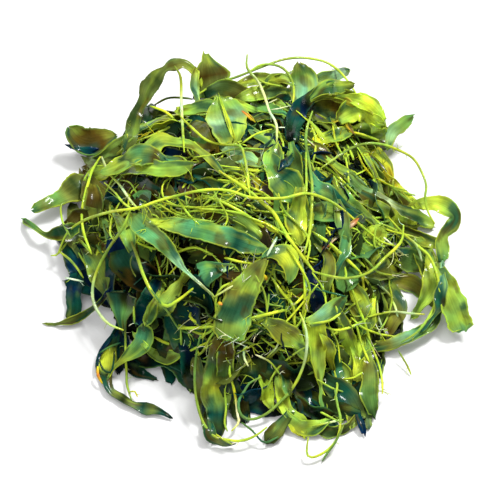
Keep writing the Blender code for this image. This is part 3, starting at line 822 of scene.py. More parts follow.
# Painted sheen: the waxy part of this blade is partly its own paler tone and partly the pale gloss along it.
blade(
    "frond_east_point", "green waxy leaf green",
    [(50.5, 37, 1), (52.5, 43, 2.5), (56, 46, 2.5), (59.5, 48.7, 1.6)],
)
blade(
    "frond_west_cup", "olive brown brown brown olive",
    [(-49, 42, 1.5), (-54, 41, 4), (-58.5, 39.5, 5.5), (-63, 41, 4.5), (-66.5, 45, 2)],
    rim="leaf", curl=0.45,
)
blade(
    "frond_west_spread", "olive moss olive green olive green",
    [(-60, 26, 4.6), (-64, 22.8, 5.4), (-69, 19.2, 3.3), (-74, 16.8, 2.5), (-79, 14.8, 1.7)],
)
blade(
    "frond_north_west_arch", "moss olive moss moss olive moss olive olive grass lime",
    [
        (-45, 36, 2), (-43, 42, 2.5), (-42, 48, 2.5), (-39, 54, 2), (-37, 59, 3.5), (-34, 63, 3),
        (-31, 66, 1.2), (-28, 67.5, 2.7), (-24, 68, 1.8), (-20.5, 65.5, 1.5), (-18, 60, 1.6),
    ],
    rim="olive",
)
# Painted highlight: the waxy middle is partly the blade's own paler tone and partly a whitish gloss across
# it.
blade(
    "frond_crown_teal", "grass leaf waxy leaf grass",
    [(-12, 55, 3), (-9.8, 50, 7.2), (-8, 44, 7.8), (-6.5, 38, 4.6)],
    above=6.0, twist=0.1,
)
blade(
    "frond_crown_ridge", "lime leaf green lime leaf",
    [(-27, 50, 2), (-21, 51, 2.3), (-15, 52.5, 2.5), (-10, 52, 1.5), (-5, 53, 2), (3, 50, 0.8)],
)
blade(
    "frond_long_lime", "lime leaf lime grass grass lime bright lime",
    [
        (-60, 26, 0.8), (-56, 27.5, 3), (-50, 29.5, 2), (-44, 30, 4.6), (-37, 29, 4.4), (-30, 28.7, 3.2),
        (-24, 29.4, 2.5), (-17, 30, 1.4), (-8, 29.2, 0.6), (4, 28, 0.5),
    ],
    rim="bright",
)
blade(
    "frond_folded_over", "leaf grass teal leaf grass grass leaf olive leaf",
    [
        (-53.5, 28, 1.2), (-49, 29.5, 3), (-43.5, 32.5, 4.2), (-37.5, 36, 4.4), (-32.5, 39.3, 3.2),
        (-27, 39, 1.8), (-21, 37.5, 2), (-16, 34, 1.8), (-12, 30, 1.4), (-9, 26, 0.8),
    ],
    rim="bright",
)
blade(
    "frond_navy_blade", "green leaf moss black navy deep black black",
    [(30, 61, 1), (26, 58, 2), (22, 55, 2.5), (18, 51, 3.5), (16, 47, 4), (15, 42, 3.5), (15, 38, 2)],
    rim="deep",
)
# Painted shade: the deep tone after the upper lobe stands for the shade in the fold below it.
blade(
    "frond_chain", "grass grass green deep green green leaf grass lime",
    [
        (10, 38, 0.8), (8.5, 33, 3.8), (8, 29, 2.8), (11, 25, 5.5), (14.5, 21, 5), (17, 17, 3.2),
        (17, 12, 5), (17.5, 7, 4.4), (17, 2.5, 1.2),
    ],
    rim="bright",
)
blade(
    "frond_east_yellow", "mustard lime mustard leaf",
    [(42, 38, 1), (47, 35.5, 2), (50.5, 31, 1.8), (51.5, 26, 1), (51, 20, 0.8)],
    rim="bright",
)
blade(
    "frond_east_diagonal", "grass olive green leaf olive leaf",
    [(24, 29, 1), (30, 24.5, 2.5), (34.5, 18.5, 2.2), (40, 13.5, 2.2), (45, 9, 2.5), (50, 4, 1)],
    rim="bright",
)
# Painted highlight: the pale and waxy middle is partly the blade's own tone and partly a white glint along
# it.
blade(
    "frond_east_waxy", "olive leaf waxy pale waxy leaf grass",
    [
        (34, 27, 1.5), (40, 21.5, 2), (46, 19.5, 1.8), (52, 16, 1.8), (58, 13, 2.8), (63, 10.5, 2.5),
        (67, 8.5, 1.2),
    ],
)
blade(
    "frond_east_olive", "grass lime grass leaf olive",
    [(47, 8.5, 3), (44, 3, 5), (42.5, -2, 4), (42.5, -6, 1)],
    above=3.0,
)
blade(
    "frond_east_loop", "lime grass lime leaf teal leaf leaf green",
    [
        (58, 16, 1.5), (64, 17.2, 2.8), (70, 16, 3), (74, 12.5, 2.2), (73, 9, 2.5), (70, 5.5, 1.8),
        (69.3, 1, 2.6), (69.3, -4, 2.2),
    ],
    rim="bright",
)
# Painted highlight: the waxy stretch stands partly for white glints on this dark blade.
blade(
    "frond_east_twisted", "deep moss green waxy olive moss",
    [(68, -20, 1.5), (66, -26, 2), (61, -29, 2), (55, -32, 2.5), (49, -34, 2.5), (44, -35, 2)],
)
blade(
    "frond_east_big_lime", "leaf grass lime grass leaf grass teal",
    [(67.5, -7, 2.4), (70, -13, 4.2), (72.2, -18.5, 4.8), (74.6, -24, 4.8), (76.6, -29, 4.4)],
    rim="bright", blunt=0.15,
)
blade(
    "frond_long_central", "leaf lime leaf teal green teal deep teal leaf",
    [
        (-40, 9.5, 1.5), (-32, 9.2, 2.6), (-24, 8, 3.3), (-16, 6.4, 3.8), (-9, 4.6, 4), (-2, 2.5, 3.4),
        (4, 0.5, 2), (6.5, -1.5, 0.6),
    ],
    above=2.5, twist=0.1,
)
blade(
    "frond_teal_triangle", "grass waxy teal green teal",
    [(-5.5, -5.5, 0.6), (-10, -6.3, 2), (-14, -7.6, 3.6), (-17.5, -9, 4.6)],
    rim="green", above=2.5, twist=0.1, blunt=0.15, curl=0.02,
)
blade(
    "frond_stalked_teal", "leaf teal teal green waxy waxy pale grass",
    [
        (-42, 13, 2), (-38.5, 9, 3.6), (-32.5, 4, 3.2), (-27, -2, 2), (-23, -7, 0.8), (-18, -11.5, 0.45),
        (-12.5, -16.5, 0.4),
    ],
    above=1.5, twist=0.1,
)
blade(
    "frond_olive_central", "olive olive grass olive teal leaf green",
    [(5.5, -3, 1), (2, -8, 3.6), (-1.5, -14, 5.4), (-4, -20, 5.9), (-6.3, -26, 6), (-6.8, -32, 5.2)],
    above=2.8, twist=0.12, blunt=0.12,
)
blade(
    "frond_lime_hook", "teal leaf lime leaf green",
    [(4.5, -2.5, 0.8), (8, -0.8, 2.6), (12.5, -2, 4), (14.6, -5.8, 3.8), (14, -11, 1)],
    rim="bright", above=2.0, twist=0.1,
)
blade(
    "frond_south_west_hook", "deep moss lime lime moss deep olive black olive deep olive deep black",
    [
        (-47.5, -31, 1.5), (-50.2, -36, 2.9), (-51.2, -41, 3.7), (-51, -46, 2.2), (-49.5, -50, 1.5),
        (-45.5, -52.5, 1.6), (-41.5, -54.8, 1.2), (-37.3, -56, 2.2), (-32.8, -57, 1.3), (-28, -59.3, 0.5),
    ],
    rim="deep",
)
blade(
    "frond_bright_leaf", "moss teal green leaf grass leaf green",
    [
        (-37.6, -26.8, 2.8), (-37.8, -31, 3.8), (-41, -35.6, 3), (-45, -38.8, 1.4), (-48.4, -42, 0.5),
        (-50.5, -45.5, 0.35),
    ],
    blunt=0.3, above=1.5,
)
blade(
    "frond_south_big", "moss brown moss green lime leaf deep moss navy",
    [
        (-11, -30, 1.5), (-12, -38, 4.2), (-13, -46, 5.8), (-13, -51.5, 6), (-11.2, -57.5, 3.8),
        (-11.8, -63, 3.2), (-13, -67, 2.2),
    ],
    rim="olive",
)
blade(
    "frond_south_pointed", "green grass bright leaf lime lime",
    [(9, -44, 1), (11, -51, 2.2), (13.5, -57, 2.5), (17, -62, 3.5), (19, -66, 1)],
    rim="bright",
)
blade(
    "frond_south_east_chain", "lime bright lime grass leaf leaf green leaf",
    [
        (23, -24, 3.6), (23.6, -31, 3.8), (23.8, -38, 3.4), (24.3, -44, 2), (25.2, -49, 0.6),
        (26, -54, 1.4), (27, -58, 0.8),
    ],
    rim="bright",
)
blade(
    "frond_south_east_pale", "leaf leaf waxy lime",
    [(34, -16.5, 0.8), (30, -20, 2.8), (25, -23.5, 3), (20, -26, 2)],
)
blade(
    "frond_south_east_bright", "bright bright lime waxy lime grass",
    [(35, -12, 1.2), (38.5, -15.5, 3), (41, -20, 2.8), (43, -25, 2.5), (45, -29, 1.5)],
    rim="bright",
)


# ---------------------------------------------------------------- the stems
# Round wet runners, a little over a millimetre thick, with swellings where side shoots leave them.
# Each of the long ones lies where its solid lies.
STEM_STEP = 1.6
LOWEST_HAIR = 0.4
LONG_STEM_HAIRS = ["pale", "cream", "lime", "lime"]


def stem_run(name, board, stations, depths, radius, tones):
    """The rings of one stem: swollen here and there, thinner at both ends, mottled along it."""
    dice = random.Random(name)
    phase = dice.uniform(0.0, 50.0)
    last = len(stations) - 1
    run = []
    for index, (row, depth) in enumerate(zip(stations, depths)):
        share = index / last
        walked = index * STEM_STEP
        swell = 1.0 + 0.16 * noise.noise(Vector((walked * 0.22, phase, 0.0)))
        taper = min(1.0, 0.55 + 3.0 * min(share, 1.0 - share))
        patch = 1.0 + 0.4 * noise.noise(Vector((walked * 0.09, phase, 5.0)))
        colour = tone_along(tones, share) * patch
        run.append((board.point(row[0], row[1], depth), radius * swell * taper, colour))
    return run


def root_hairs(dice, run, gap, lengths, tones):
    """Short pale side shoots along a stem, some of them forked."""
    hairs = []
    walked, goal = 0.0, dice.uniform(0.3, 1.0) * gap
    for before, here in zip(run[1:], run[2:-1]):
        walked += (here[0] - before[0]).length
        if walked < goal:
            continue
        walked, goal = 0.0, dice.uniform(0.5, 1.6) * gap
        along = (here[0] - before[0]).normalized()
        heading = along.orthogonal()
        heading.rotate(Quaternion(along, dice.uniform(0.0, 6.3)))
        heading = (heading + along * dice.uniform(-0.4, 0.9)).normalized()
        hairs += fork(dice, here[0], heading, dice.uniform(*lengths), tone(dice.choice(tones)), 1)
    return hairs


def fork(dice, start, heading, length, colour, forks):
    """One thin shoot that bends a little and may split in two."""
    radius = min(0.2, 0.1 + 0.02 * length)
    place, run = start.copy(), []
    bend = Vector((dice.uniform(-1, 1), dice.uniform(-1, 1), dice.uniform(-1, 1)))
    steps = 5
    for index in range(steps + 1):
        run.append((place.copy(), radius * (1.0 - 0.85 * index / steps), colour))
        heading = (heading + bend * 0.26).normalized()
        place = place + heading * length / steps
        place.z = max(place.z, LOWEST_HAIR)
    runs = [run]
    if forks and dice.random() < 0.6:
        aside = heading.cross(bend).normalized() * 0.8
        middle = run[dice.choice((2, 3))][0]
        runs += fork(dice, middle, (heading + aside).normalized(), length * 0.55, colour, forks - 1)
    return runs


def stem(node, tones, route, radius=STEM_RADIUS, board=front, gap=14.0):
    """One long stem, in place of its solid."""
    stations = smooth_route(route, STEM_STEP)
    across = directions_across(stations)
    depths, _ = lie_on_node(node, board, stations, across, [radius] * len(stations))
    run = close_ends(stem_run(node, board, stations, depths, radius, tones))
    hairs = root_hairs(random.Random(node + "_hairs"), run, gap, (1.0, 3.6), LONG_STEM_HAIRS)
    piece = tube(node + "_stem", [run] + hairs)
    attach(piece, "root")
    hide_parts(node)
    return piece


stem(
    "runner_back_long", "grass lime leaf grass lime",
    [(-60, -16), (-50, -20), (-38, -26), (-25, -29), (-12, -30), (2, -28), (16, -23), (30, -21), (44, -15)],
    board=back,
)
stem(
    "runner_north_loop", "lime leaf grass lime lime",
    [
        (-20, 56), (-12, 61), (-5, 63), (5, 67), (12, 69.5), (19, 70.3), (27, 69), (32, 66), (36, 61.5),
        (39.5, 56),
    ],
    radius=0.48,
)
stem(
    "runner_pale_north", "grass leaf pale pale pale lime",
    [(-1, 71), (-1, 66), (3, 61), (5.5, 55), (7, 50), (9.5, 45), (9.5, 37)],
    radius=0.5, gap=5.0,
)
stem(
    "runner_east_upright", "grass leaf leaf lime lime",
    [(22.5, 50), (20.5, 44), (20, 38), (21, 32), (22, 24), (22, 20), (21.8, 14), (21, 6), (19, -2)],
)
stem(
    "runner_east_loop", "grass leaf lime grass lime",
    [
        (25, 29), (30, 32.5), (36, 36.5), (42, 38.5), (48, 38.2), (54, 36), (59, 33), (62, 28), (63.5, 23),
        (63, 19), (64, 14), (66.5, 9.5),
    ],
    radius=0.48,
)
stem(
    "runner_east_long", "grass lime lime leaf",
    [
        (45, 10), (50, 8.3), (56, 5), (61, 1), (64.5, -2.5), (67, -9), (67.5, -14), (65, -22), (60, -29),
        (54, -33),
    ],
    radius=0.5,
)
stem(
    "runner_west_thick", "olive lime lime bright",
    [
        (-42, 3), (-40, -2), (-38, -8), (-35.5, -13.5), (-33, -17), (-29.5, -19.8), (-25, -17.5),
        (-20, -13.5),
    ],
    radius=0.62,
)
stem(
    "runner_south_west_loop", "green leaf grass lime lime",
    [
        (-17.5, -30), (-18.8, -36), (-19.5, -42), (-19.5, -48), (-18.5, -55), (-16.5, -61), (-13, -65.5),
        (-8, -67), (-3, -67.3), (2, -65.5), (6, -62.5),
    ],
    radius=0.5,
)
stem(
    "runner_south_east_loop", "leaf grass lime lime grass",
    [(30, -49), (31, -55), (32, -60), (31, -66), (28, -70), (24, -72.5), (21, -73), (20, -71), (20.5, -66)],
    radius=0.48,
)
stem(
    "runner_west_upright", "lime bright lime bright",
    [(-54.5, 34), (-57.5, 29), (-59, 24), (-60.5, 18), (-61, 12), (-60, 6), (-57, -1.5)],
)
stem(
    "runner_west_loop", "lime grass lime pale lime",
    [
        (-42, 15), (-45, 8), (-50, 1), (-54, -6), (-56, -12), (-56, -18), (-53.5, -23), (-50, -26.5),
        (-45, -28.5),
    ],
)
stem(
    "runner_crown_curve", "lime lime grass lime",
    [(-25, 48), (-20, 43), (-15, 39), (-9, 37.5), (-3.5, 37), (-2, 33), (-1, 28), (0, 22)],
    radius=0.5,
)
stem(
    "runner_middle_branch", "lime bright lime",
    [(-17, 19.5), (-10, 17), (-5, 14.5), (0, 11.5), (5, 8), (10, 6), (15, 5.5)],
)
stem(
    "runner_middle_thick", "lime bright lime bright lime lime",
    [
        (-11, 28), (-5, 24), (0, 20.5), (4, 17), (8, 13.5), (10.5, 9.5), (13, 5), (16, 1), (19, -3),
        (22.5, -7.5),
    ],
    radius=0.68,
)
stem(
    "runner_long_bow", "lime lime bright lime bright lime lime bright lime",
    [
        (-69.5, -1.5), (-66, 6), (-60, 10.5), (-50, 13.5), (-40, 14.8), (-32, 17.5), (-20, 20.5),
        (-13, 21.3), (-7, 20.8), (0, 18.5), (5, 18.2), (12, 18.3), (20, 20), (28, 17.5), (34, 13.5),
        (38, 10), (43, 6), (47, 3), (52, 1.5),
    ],
)
stem(
    "runner_olive_bow", "lime grass lime lime",
    [(22, -7.5), (27, -9), (33, -10), (39, -9.3), (44, -7), (48, -3), (52, 0.5), (54.5, 4), (55, 9)],
)
stem(
    "runner_south_pale_loop", "lime pale lime leaf leaf teal leaf",
    [
        (17.5, -22), (19.7, -28), (20, -35), (18.5, -42), (15, -49), (10, -54.5), (5, -58.5), (0, -60),
        (-3.5, -58), (-4, -53.5), (-2, -50), (0, -47), (4, -45),
    ],
)

# ---------------------------------------------------------------- the small blades
# Short young blades and torn ends fill the heap between the large ones.  Some are sunk in the
# tangle, where it is dark, and many of those are given near-black and moss tones as painted shade;
# the others have been caught on whatever lies under them.
SMALL_STEP = 1.0
EASING = 4
ROOTED = 5.0
ROOT_DEPTH = 3.5
SMALL_THICKNESS = 0.32
SMALL_GAP = 0.5
SUNK_RISE = 1.5
STEEPEST = 0.7
SIDE_PROBE = 0.8
OVER = None
STANDS_FOR = {
    "north": ("rhizoid_tuft_north", "frond_north_olive", "frond_north_waxy", "frond_crown_ridge"),
    "north_east": ("rhizoid_tuft_east", "frond_east_shoulder", "frond_east_point"),
    "east": ("rhizoid_tuft_east", "frond_east_loop", "frond_east_big_lime", "runner_east_long"),
    "south_east": ("rhizoid_tuft_south", "frond_south_east_chain", "frond_east_twisted"),
    "south": ("rhizoid_tuft_south", "frond_south_big", "frond_south_pointed"),
    "south_west": ("rhizoid_tuft_west", "frond_south_west_hook", "frond_dark_fan"),
    "west": ("rhizoid_tuft_west", "frond_west_navy", "frond_west_foot", "frond_west_spread"),
    "north_west": ("rhizoid_tuft_west", "frond_west_cup", "frond_north_west_arch"),
    "middle": ("rhizoid_tuft_middle",),
}


class Pile:
    """Everything that has been laid so far, for the next piece to rest on."""

    def __init__(self):
        self.trees = []

    def add(self, items):
        """Takes in pieces, each with the box that it fills."""
        for item in items:
            corners = [vertex.co / MM for vertex in item.data.vertices]
            low = [min(corner[axis] for corner in corners) for axis in range(3)]
            high = [max(corner[axis] for corner in corners) for axis in range(3)]
            self.trees.append((surface_of([item]), low, high))

    def depth(self, board, u, v):
        """The depth of the top of the pile, or of the ground, under a point of the board."""
        start = board.point(u, v, REACH)
        best = board.depth_at_height(v, 0.0)
        for tree, low, high in self.trees:
            if not (low[0] - 1.0 <= start.x <= high[0] + 1.0) and board is front:
                continue
            reach = tree.ray_cast(start, -board.out, 2 * REACH)[3]
            if reach is not None:
                best = max(best, REACH - reach)
        return best


pile = Pile()
pile.add([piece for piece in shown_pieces() if piece.type == "MESH" and "_mat" not in piece.name])


def heart_depth(board, u, v):
    """The depth of the heart under a point of the board, or None beside it."""
    reach = heart.ray_cast(board.point(u, v, REACH), -board.out, 2 * REACH)[3]
    return None if reach is None else REACH - reach


def rest(board, stations, across, widths, heights, lift, gap):
    """Depths and leans of a piece that lies at its lift from the heart, or OVER the whole pile."""
    depths, leans = [], []
    for row, side, half, height in zip(stations, across, widths, heights):
        spot = Vector(row[:2])
        least = board.depth_at_height(row[1], max(LOWEST_BLADE, height))
        near, far = spot + side * half * SIDE_PROBE, spot - side * half * SIDE_PROBE
        if lift is OVER:
            tops = [pile.depth(board, place.x, place.y) for place in (near, spot, far)]
            depths.append(max(least, tops[1] + gap, 0.5 * (tops[0] + tops[2]) + gap))
            lean = (tops[0] - tops[2]) / (2 * SIDE_PROBE * half)
        else:
            below = heart_depth(board, spot.x, spot.y)
            depths.append(least if below is None else max(least, below + lift + SUNK_RISE))
            a, b = heart_depth(board, near.x, near.y), heart_depth(board, far.x, far.y)
            lean = 0.0 if a is None or b is None else (a - b) / (2 * SIDE_PROBE * half)
        leans.append(max(-STEEPEST, min(STEEPEST, 0.5 * lean)))
    if lift is OVER:
        padded = [depths[0]] + depths + [depths[-1]]
        depths = [max(trio) for trio in zip(padded, padded[1:], padded[2:])]
    return ease(depths, EASING), ease(leans, EASING)


def rooted(route, both):
    """The route with its first end, or both, drawn out to where it is rooted in the tangle."""
    rows = [(*point, 0.0)[:4] for point in route]
    ends = ((rows[0], rows[1], 0), (rows[-1], rows[-2], len(rows) + 1))
    for end, inner, place in ends if both else ends[:1]:
        away = Vector((end[0] - inner[0], end[1] - inner[1])).normalized() * ROOTED
        rows.insert(place, (end[0] + away.x, end[1] + away.y, max(0.5, end[2] * 0.5), end[3] * 0.6))
    return rows


def dive(depths, both):
    """Lets the rooted ends sink into the tangle."""
    last = len(depths) - 1
    result = []
    for index, depth in enumerate(depths):
        from_end = min(index, last - index) if both else index
        result.append(depth - ROOT_DEPTH * max(0.0, 1.0 - from_end * SMALL_STEP / (ROOTED + 2.0)))
    return result


small_blades = {name: [] for name in STANDS_FOR}


def small(group, tones, lift, route, rim="lime", board=front, rooted_ends=True, **look):
    """One small blade.  Each point is (u, v, half width) or (u, v, half width, least height)."""
    both = lift is not OVER
    stations = smooth_route(rooted(route, both), SMALL_STEP)
    across = directions_across(stations)
    broadest = max(row[2] for row in stations)
    widths = [max(SLIMMEST, 0.4 * broadest, row[2]) for row in stations]
    heights = [row[3] for row in stations]
    depths, leans = rest(board, stations, across, widths, heights, lift, SMALL_GAP)
    if rooted_ends:
        depths = dive(depths, both)
    name = "small_blade_" + group + "_" + str(len(small_blades[group]))
    turns = random.Random(name + "_turns")
    look = {"columns": 10, "wave": 0.9, "thick": SMALL_THICKNESS, "twist": turns.uniform(0.2, 0.7), **look}
    piece = blade_mesh(name, board, stations, across, widths, depths, leans, tones, rim, look)
    small_blades[group].append(piece)
    if lift is OVER:
        pile.add([piece])


def small_blades_of(group, *rows, board=front):
    """Lays small blades in turn.  Each row is tones, lift, route and, for some, what looks special."""
    for tones, lift, route, *look in rows:
        small(group, tones, lift, route, board=board, **(look[0] if look else {}))


def joined(name, parts, group):
    """Joins the small pieces of one side of the heap."""
    bpy.ops.object.select_all(action="DESELECT")
    for part in parts:
        part.select_set(True)
    bpy.context.view_layer.objects.active = parts[0]
    if len(parts) > 1:
        bpy.ops.object.join()
    piece = bpy.context.object
    piece.name = name
    piece.select_set(False)
    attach(piece, "root")
    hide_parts(*STANDS_FOR[group])


# the far side
small_blades_of(
    "north",
    ("deep olive brown", 0, [(-16, 57, 2, 24), (-10, 59, 3.5, 26), (-4, 57, 3.5, 27), (2, 55, 2, 28)]),
    ("grass lime olive", 1, [(-5, 60, 1, 27), (1, 62, 2.5, 27), (8, 63, 1.5, 27)]),
    ("leaf grass olive", 1, [(-4, 55, 1.5, 29), (2, 57, 3, 28), (8, 58.5, 3, 27), (13, 58, 1, 26)]),
    ("olive leaf grass", 2, [(-3, 50, 1.5), (4, 52, 3), (10, 53, 2.5), (14, 52, 1)]),
    ("moss olive leaf", 1, [(0, 46, 1.5), (6, 48, 3.2), (12, 48, 2)]),
    ("brown rust mustard", OVER,
     [(-2.5, 49.8, 0.5), (-0.5, 48.3, 0.7), (1.5, 46.5, 0.5)], dict(rim="yellow")),
    ("waxy green leaf", 2, [(-1, 45, 1), (2, 42, 3), (7, 39, 2.5), (9, 36, 1)]),
    ("lime bright lime", OVER,
     [(-9.5, 51, 0.5), (-8, 46.5, 0.9), (-5.8, 40, 0.5)], dict(rooted_ends=False)),
    ("navy deep navy", OVER, [(15.5, 34.5, 0.8), (13, 31.5, 1.8), (10.3, 28.4, 0.8)], dict(rim="deep")),
    ("lime waxy lime", OVER,
     [(-19.4, 56.5, 1, 22), (-20.2, 61, 2.2, 24), (-19.6, 66, 1, 24)], dict(rim="bright")),
    ("leaf lime leaf", OVER, [(5, 60, 1, 28), (8, 62, 2, 28), (12, 62.5, 1.8, 27), (16, 60.5, 0.8, 26)]),
    ("olive brown olive brown", 3, [(-24, 46.5, 2), (-19, 43, 4), (-15, 38.5, 3)], dict(rim="mustard")),
    ("moss brown", -3, [(-34, 50, 2, 18), (-29, 47, 4), (-25, 42, 3)], dict(rim="olive")),
    ("waxy waxy leaf", 1, [(-10, 37, 2), (-5, 34.5, 3), (-1, 32, 3), (4, 30, 1.5)]),
    ("moss deep moss", 0, [(4, 52, 3), (10, 55, 4.5), (16, 55, 4), (20, 53, 3)], dict(rim="olive")),
    ("green olive leaf", 1, [(6, 56, 2, 22), (10, 60.5, 3.4, 25), (13.5, 63, 2.2, 26)]),
)
# the shoulder towards the back and right
small_blades_of(
    "north_east",
    ("green waxy waxy green", 1, [(22, 58, 1.5, 20), (26, 62, 3.2, 22), (32, 64.5, 2.5, 22)]),
    ("brown olive mustard brown", 1,
     [(20, 50, 3), (27, 50, 5), (34, 49, 4), (38, 47, 2)], dict(rim="yellow")),
    ("green leaf green olive", OVER,
     [(22, 55, 1), (27, 58.5, 3, 22), (32, 59.5, 2.6, 22), (38, 60.5, 1, 20)]),
    ("lime olive mustard", OVER,
     [(22.5, 54, 0.6), (28, 56, 1.6, 20), (34.5, 54.5, 1.4, 20), (38, 52, 0.6)]),
    (
        "grass lime bright lime", OVER,
        [(34.5, 55.5, 1.4), (39.5, 54.2, 2.6), (44.5, 50.8, 2.6), (48.5, 46.3, 1.6)],
        dict(rim="bright", wave=1.6),
    ),
    ("bright lime lime leaf", OVER,
     [(43, 48.5, 2), (46.5, 45, 3), (48, 41, 2.4)], dict(rim="bright", wave=1.4)),
    ("mustard brown olive", 0, [(35, 41, 3, 10), (41, 40.5, 3.5, 9), (46, 39, 2.4, 8)]),
    ("olive brown olive", 2, [(24, 52, 3, 20), (30, 52, 4.4, 18), (36, 50.5, 3, 16)]),
    ("green olive grass leaf", 2,
     [(24, 55.5, 2, 20), (29, 56.2, 2.8, 20), (34.5, 56, 3, 19), (39, 55, 2, 18)]),
    ("brown moss olive", 0, [(34, 44, 3, 14), (41, 45, 4, 12), (48, 43, 3, 10)], dict(rim="olive")),
    ("mustard leaf grass", 1, [(38, 45, 3, 16), (43, 44, 3.5, 14), (48, 42, 2, 12)]),
    ("brown olive brown", -1, [(29, 40, 3), (35, 36, 5.5), (42, 32, 4)], dict(rim="mustard")),
    ("olive brown olive moss", 1,
     [(22, 38, 1.5), (26, 34, 3.5), (32, 28, 3.5), (38, 24, 2)], dict(rim="grass")),
    ("brown mustard brown", OVER, [(39, 42.4, 1.5), (43, 41.6, 2.2), (48, 41, 1.5)], dict(rim="yellow")),
    (
        "yellow lime green lime bright", OVER,
        [(27.5, 40.3, 2.6, 24), (31, 41, 3.3, 24.5), (35, 42.8, 2.4, 22), (38.5, 44.3, 1, 19)],
        dict(rim="bright", wave=1.4, twist=0.1),
    ),
    ("rust yellow rust", OVER,
     [(35, 46.5, 0.8, 21), (36, 44.5, 1.2, 20), (37.4, 42.5, 0.7, 19)], dict(rim="yellow")),
    ("green moss green", 2, [(15, 37, 1.2), (16, 32, 2.8), (18, 25, 1.2)]),
    ("leaf grass waxy", 2, [(27, 33, 1), (32, 29, 2), (38, 25.5, 1.2)], dict(rim="bright")),
    ("olive grass brown", 0, [(40, 34, 1.5), (45, 28, 3), (50, 21, 3), (55, 15, 1.5)]),
    ("lime mustard lime", OVER, [(46, 32, 0.8), (51, 26, 1.2), (57, 20, 1.4), (62, 15, 0.8, 12)]),
)
# the near right side
small_blades_of(
    "east",
    ("teal teal deep green", 3, [(21.5, 27, 1.5), (24, 22.5, 3), (29, 19.5, 3), (35, 15.5, 1)]),
    ("deep green deep moss", 1,
     [(21, 13, 2), (27, 13.5, 4), (34, 12.5, 3.5), (39, 11, 1)], dict(rim="green")),
    ("green teal teal", 2, [(36, 10, 2.5), (34.5, 5, 3.2), (34, 0, 2.2), (32, -4, 0.8)], dict(rim="leaf")),
    ("green olive green", 4, [(31, 18, 1.5), (32.5, 12, 2.6), (33.5, 6, 2)], dict(rim="leaf")),
    ("leaf grass lime lime grass", OVER,
     [(17.4, 19, 2.4), (17, 14.5, 3), (16.7, 10, 4.3), (16.9, 6, 3.8), (17.6, 2, 1.5)], dict(rim="bright")),
    ("rust cream rust", OVER, [(29.5, 3.5, 0.5), (33.5, 7, 1.1), (38.5, 11, 0.8)], dict(rim="rust")),
    ("brown olive moss", 0, [(47, 26, 2), (52, 21, 3.6), (56, 15, 3.6), (58, 10, 2)], dict(rim="olive")),
    ("olive moss green", -1, [(40, 20, 2), (46, 15, 4), (51, 9, 4), (54, 4, 2)], dict(rim="olive")),
    ("olive leaf green", 1, [(52, 8, 1.5, 5), (58, 5, 2.6, 6), (63, 0, 3, 7), (66, -6, 2, 8)]),
    ("green leaf mustard", 0, [(39, 1, 2), (45, -3, 3.5), (50, -8, 3)]),
    ("brown olive leaf", 1, [(42, -9, 1.5), (50, -7, 3.5), (57, -5, 2)], dict(rim="grass")),
    ("moss olive brown olive", 1,
     [(46, -14, 2), (53, -12, 4), (60, -14, 3.5), (64, -18, 1.5)], dict(rim="grass")),
    ("olive moss green olive", 0,
     [(50, -1, 2, 5), (56, -3, 4.5, 5), (62, -5, 3.5, 6), (66, -4, 2, 7)], dict(rim="leaf")),
    ("green leaf grass leaf", 2,
     [(65, -2, 1.5, 10), (65.5, -10, 3.4, 9), (64, -15, 3, 8), (61, -20, 1.5, 7)]),
    ("waxy deep teal", OVER, [(69, -9, 1, 12), (68.5, -15, 2.4, 10), (66.5, -22, 2, 8), (61, -29, 1, 7)]),
    ("leaf olive leaf", 1, [(55, 8, 1.5, 6), (61, 5, 2.5, 7), (67, 2, 2, 9)]),
    ("green moss green", 0, [(60, 0, 1.5, 6), (63, -6, 3, 7), (66, -12, 2.5, 8)]),
    ("lime leaf lime", OVER, [(40, 17, 1), (47, 15.5, 2.2), (54, 11, 2.2), (61, 9, 1, 10)]),
)
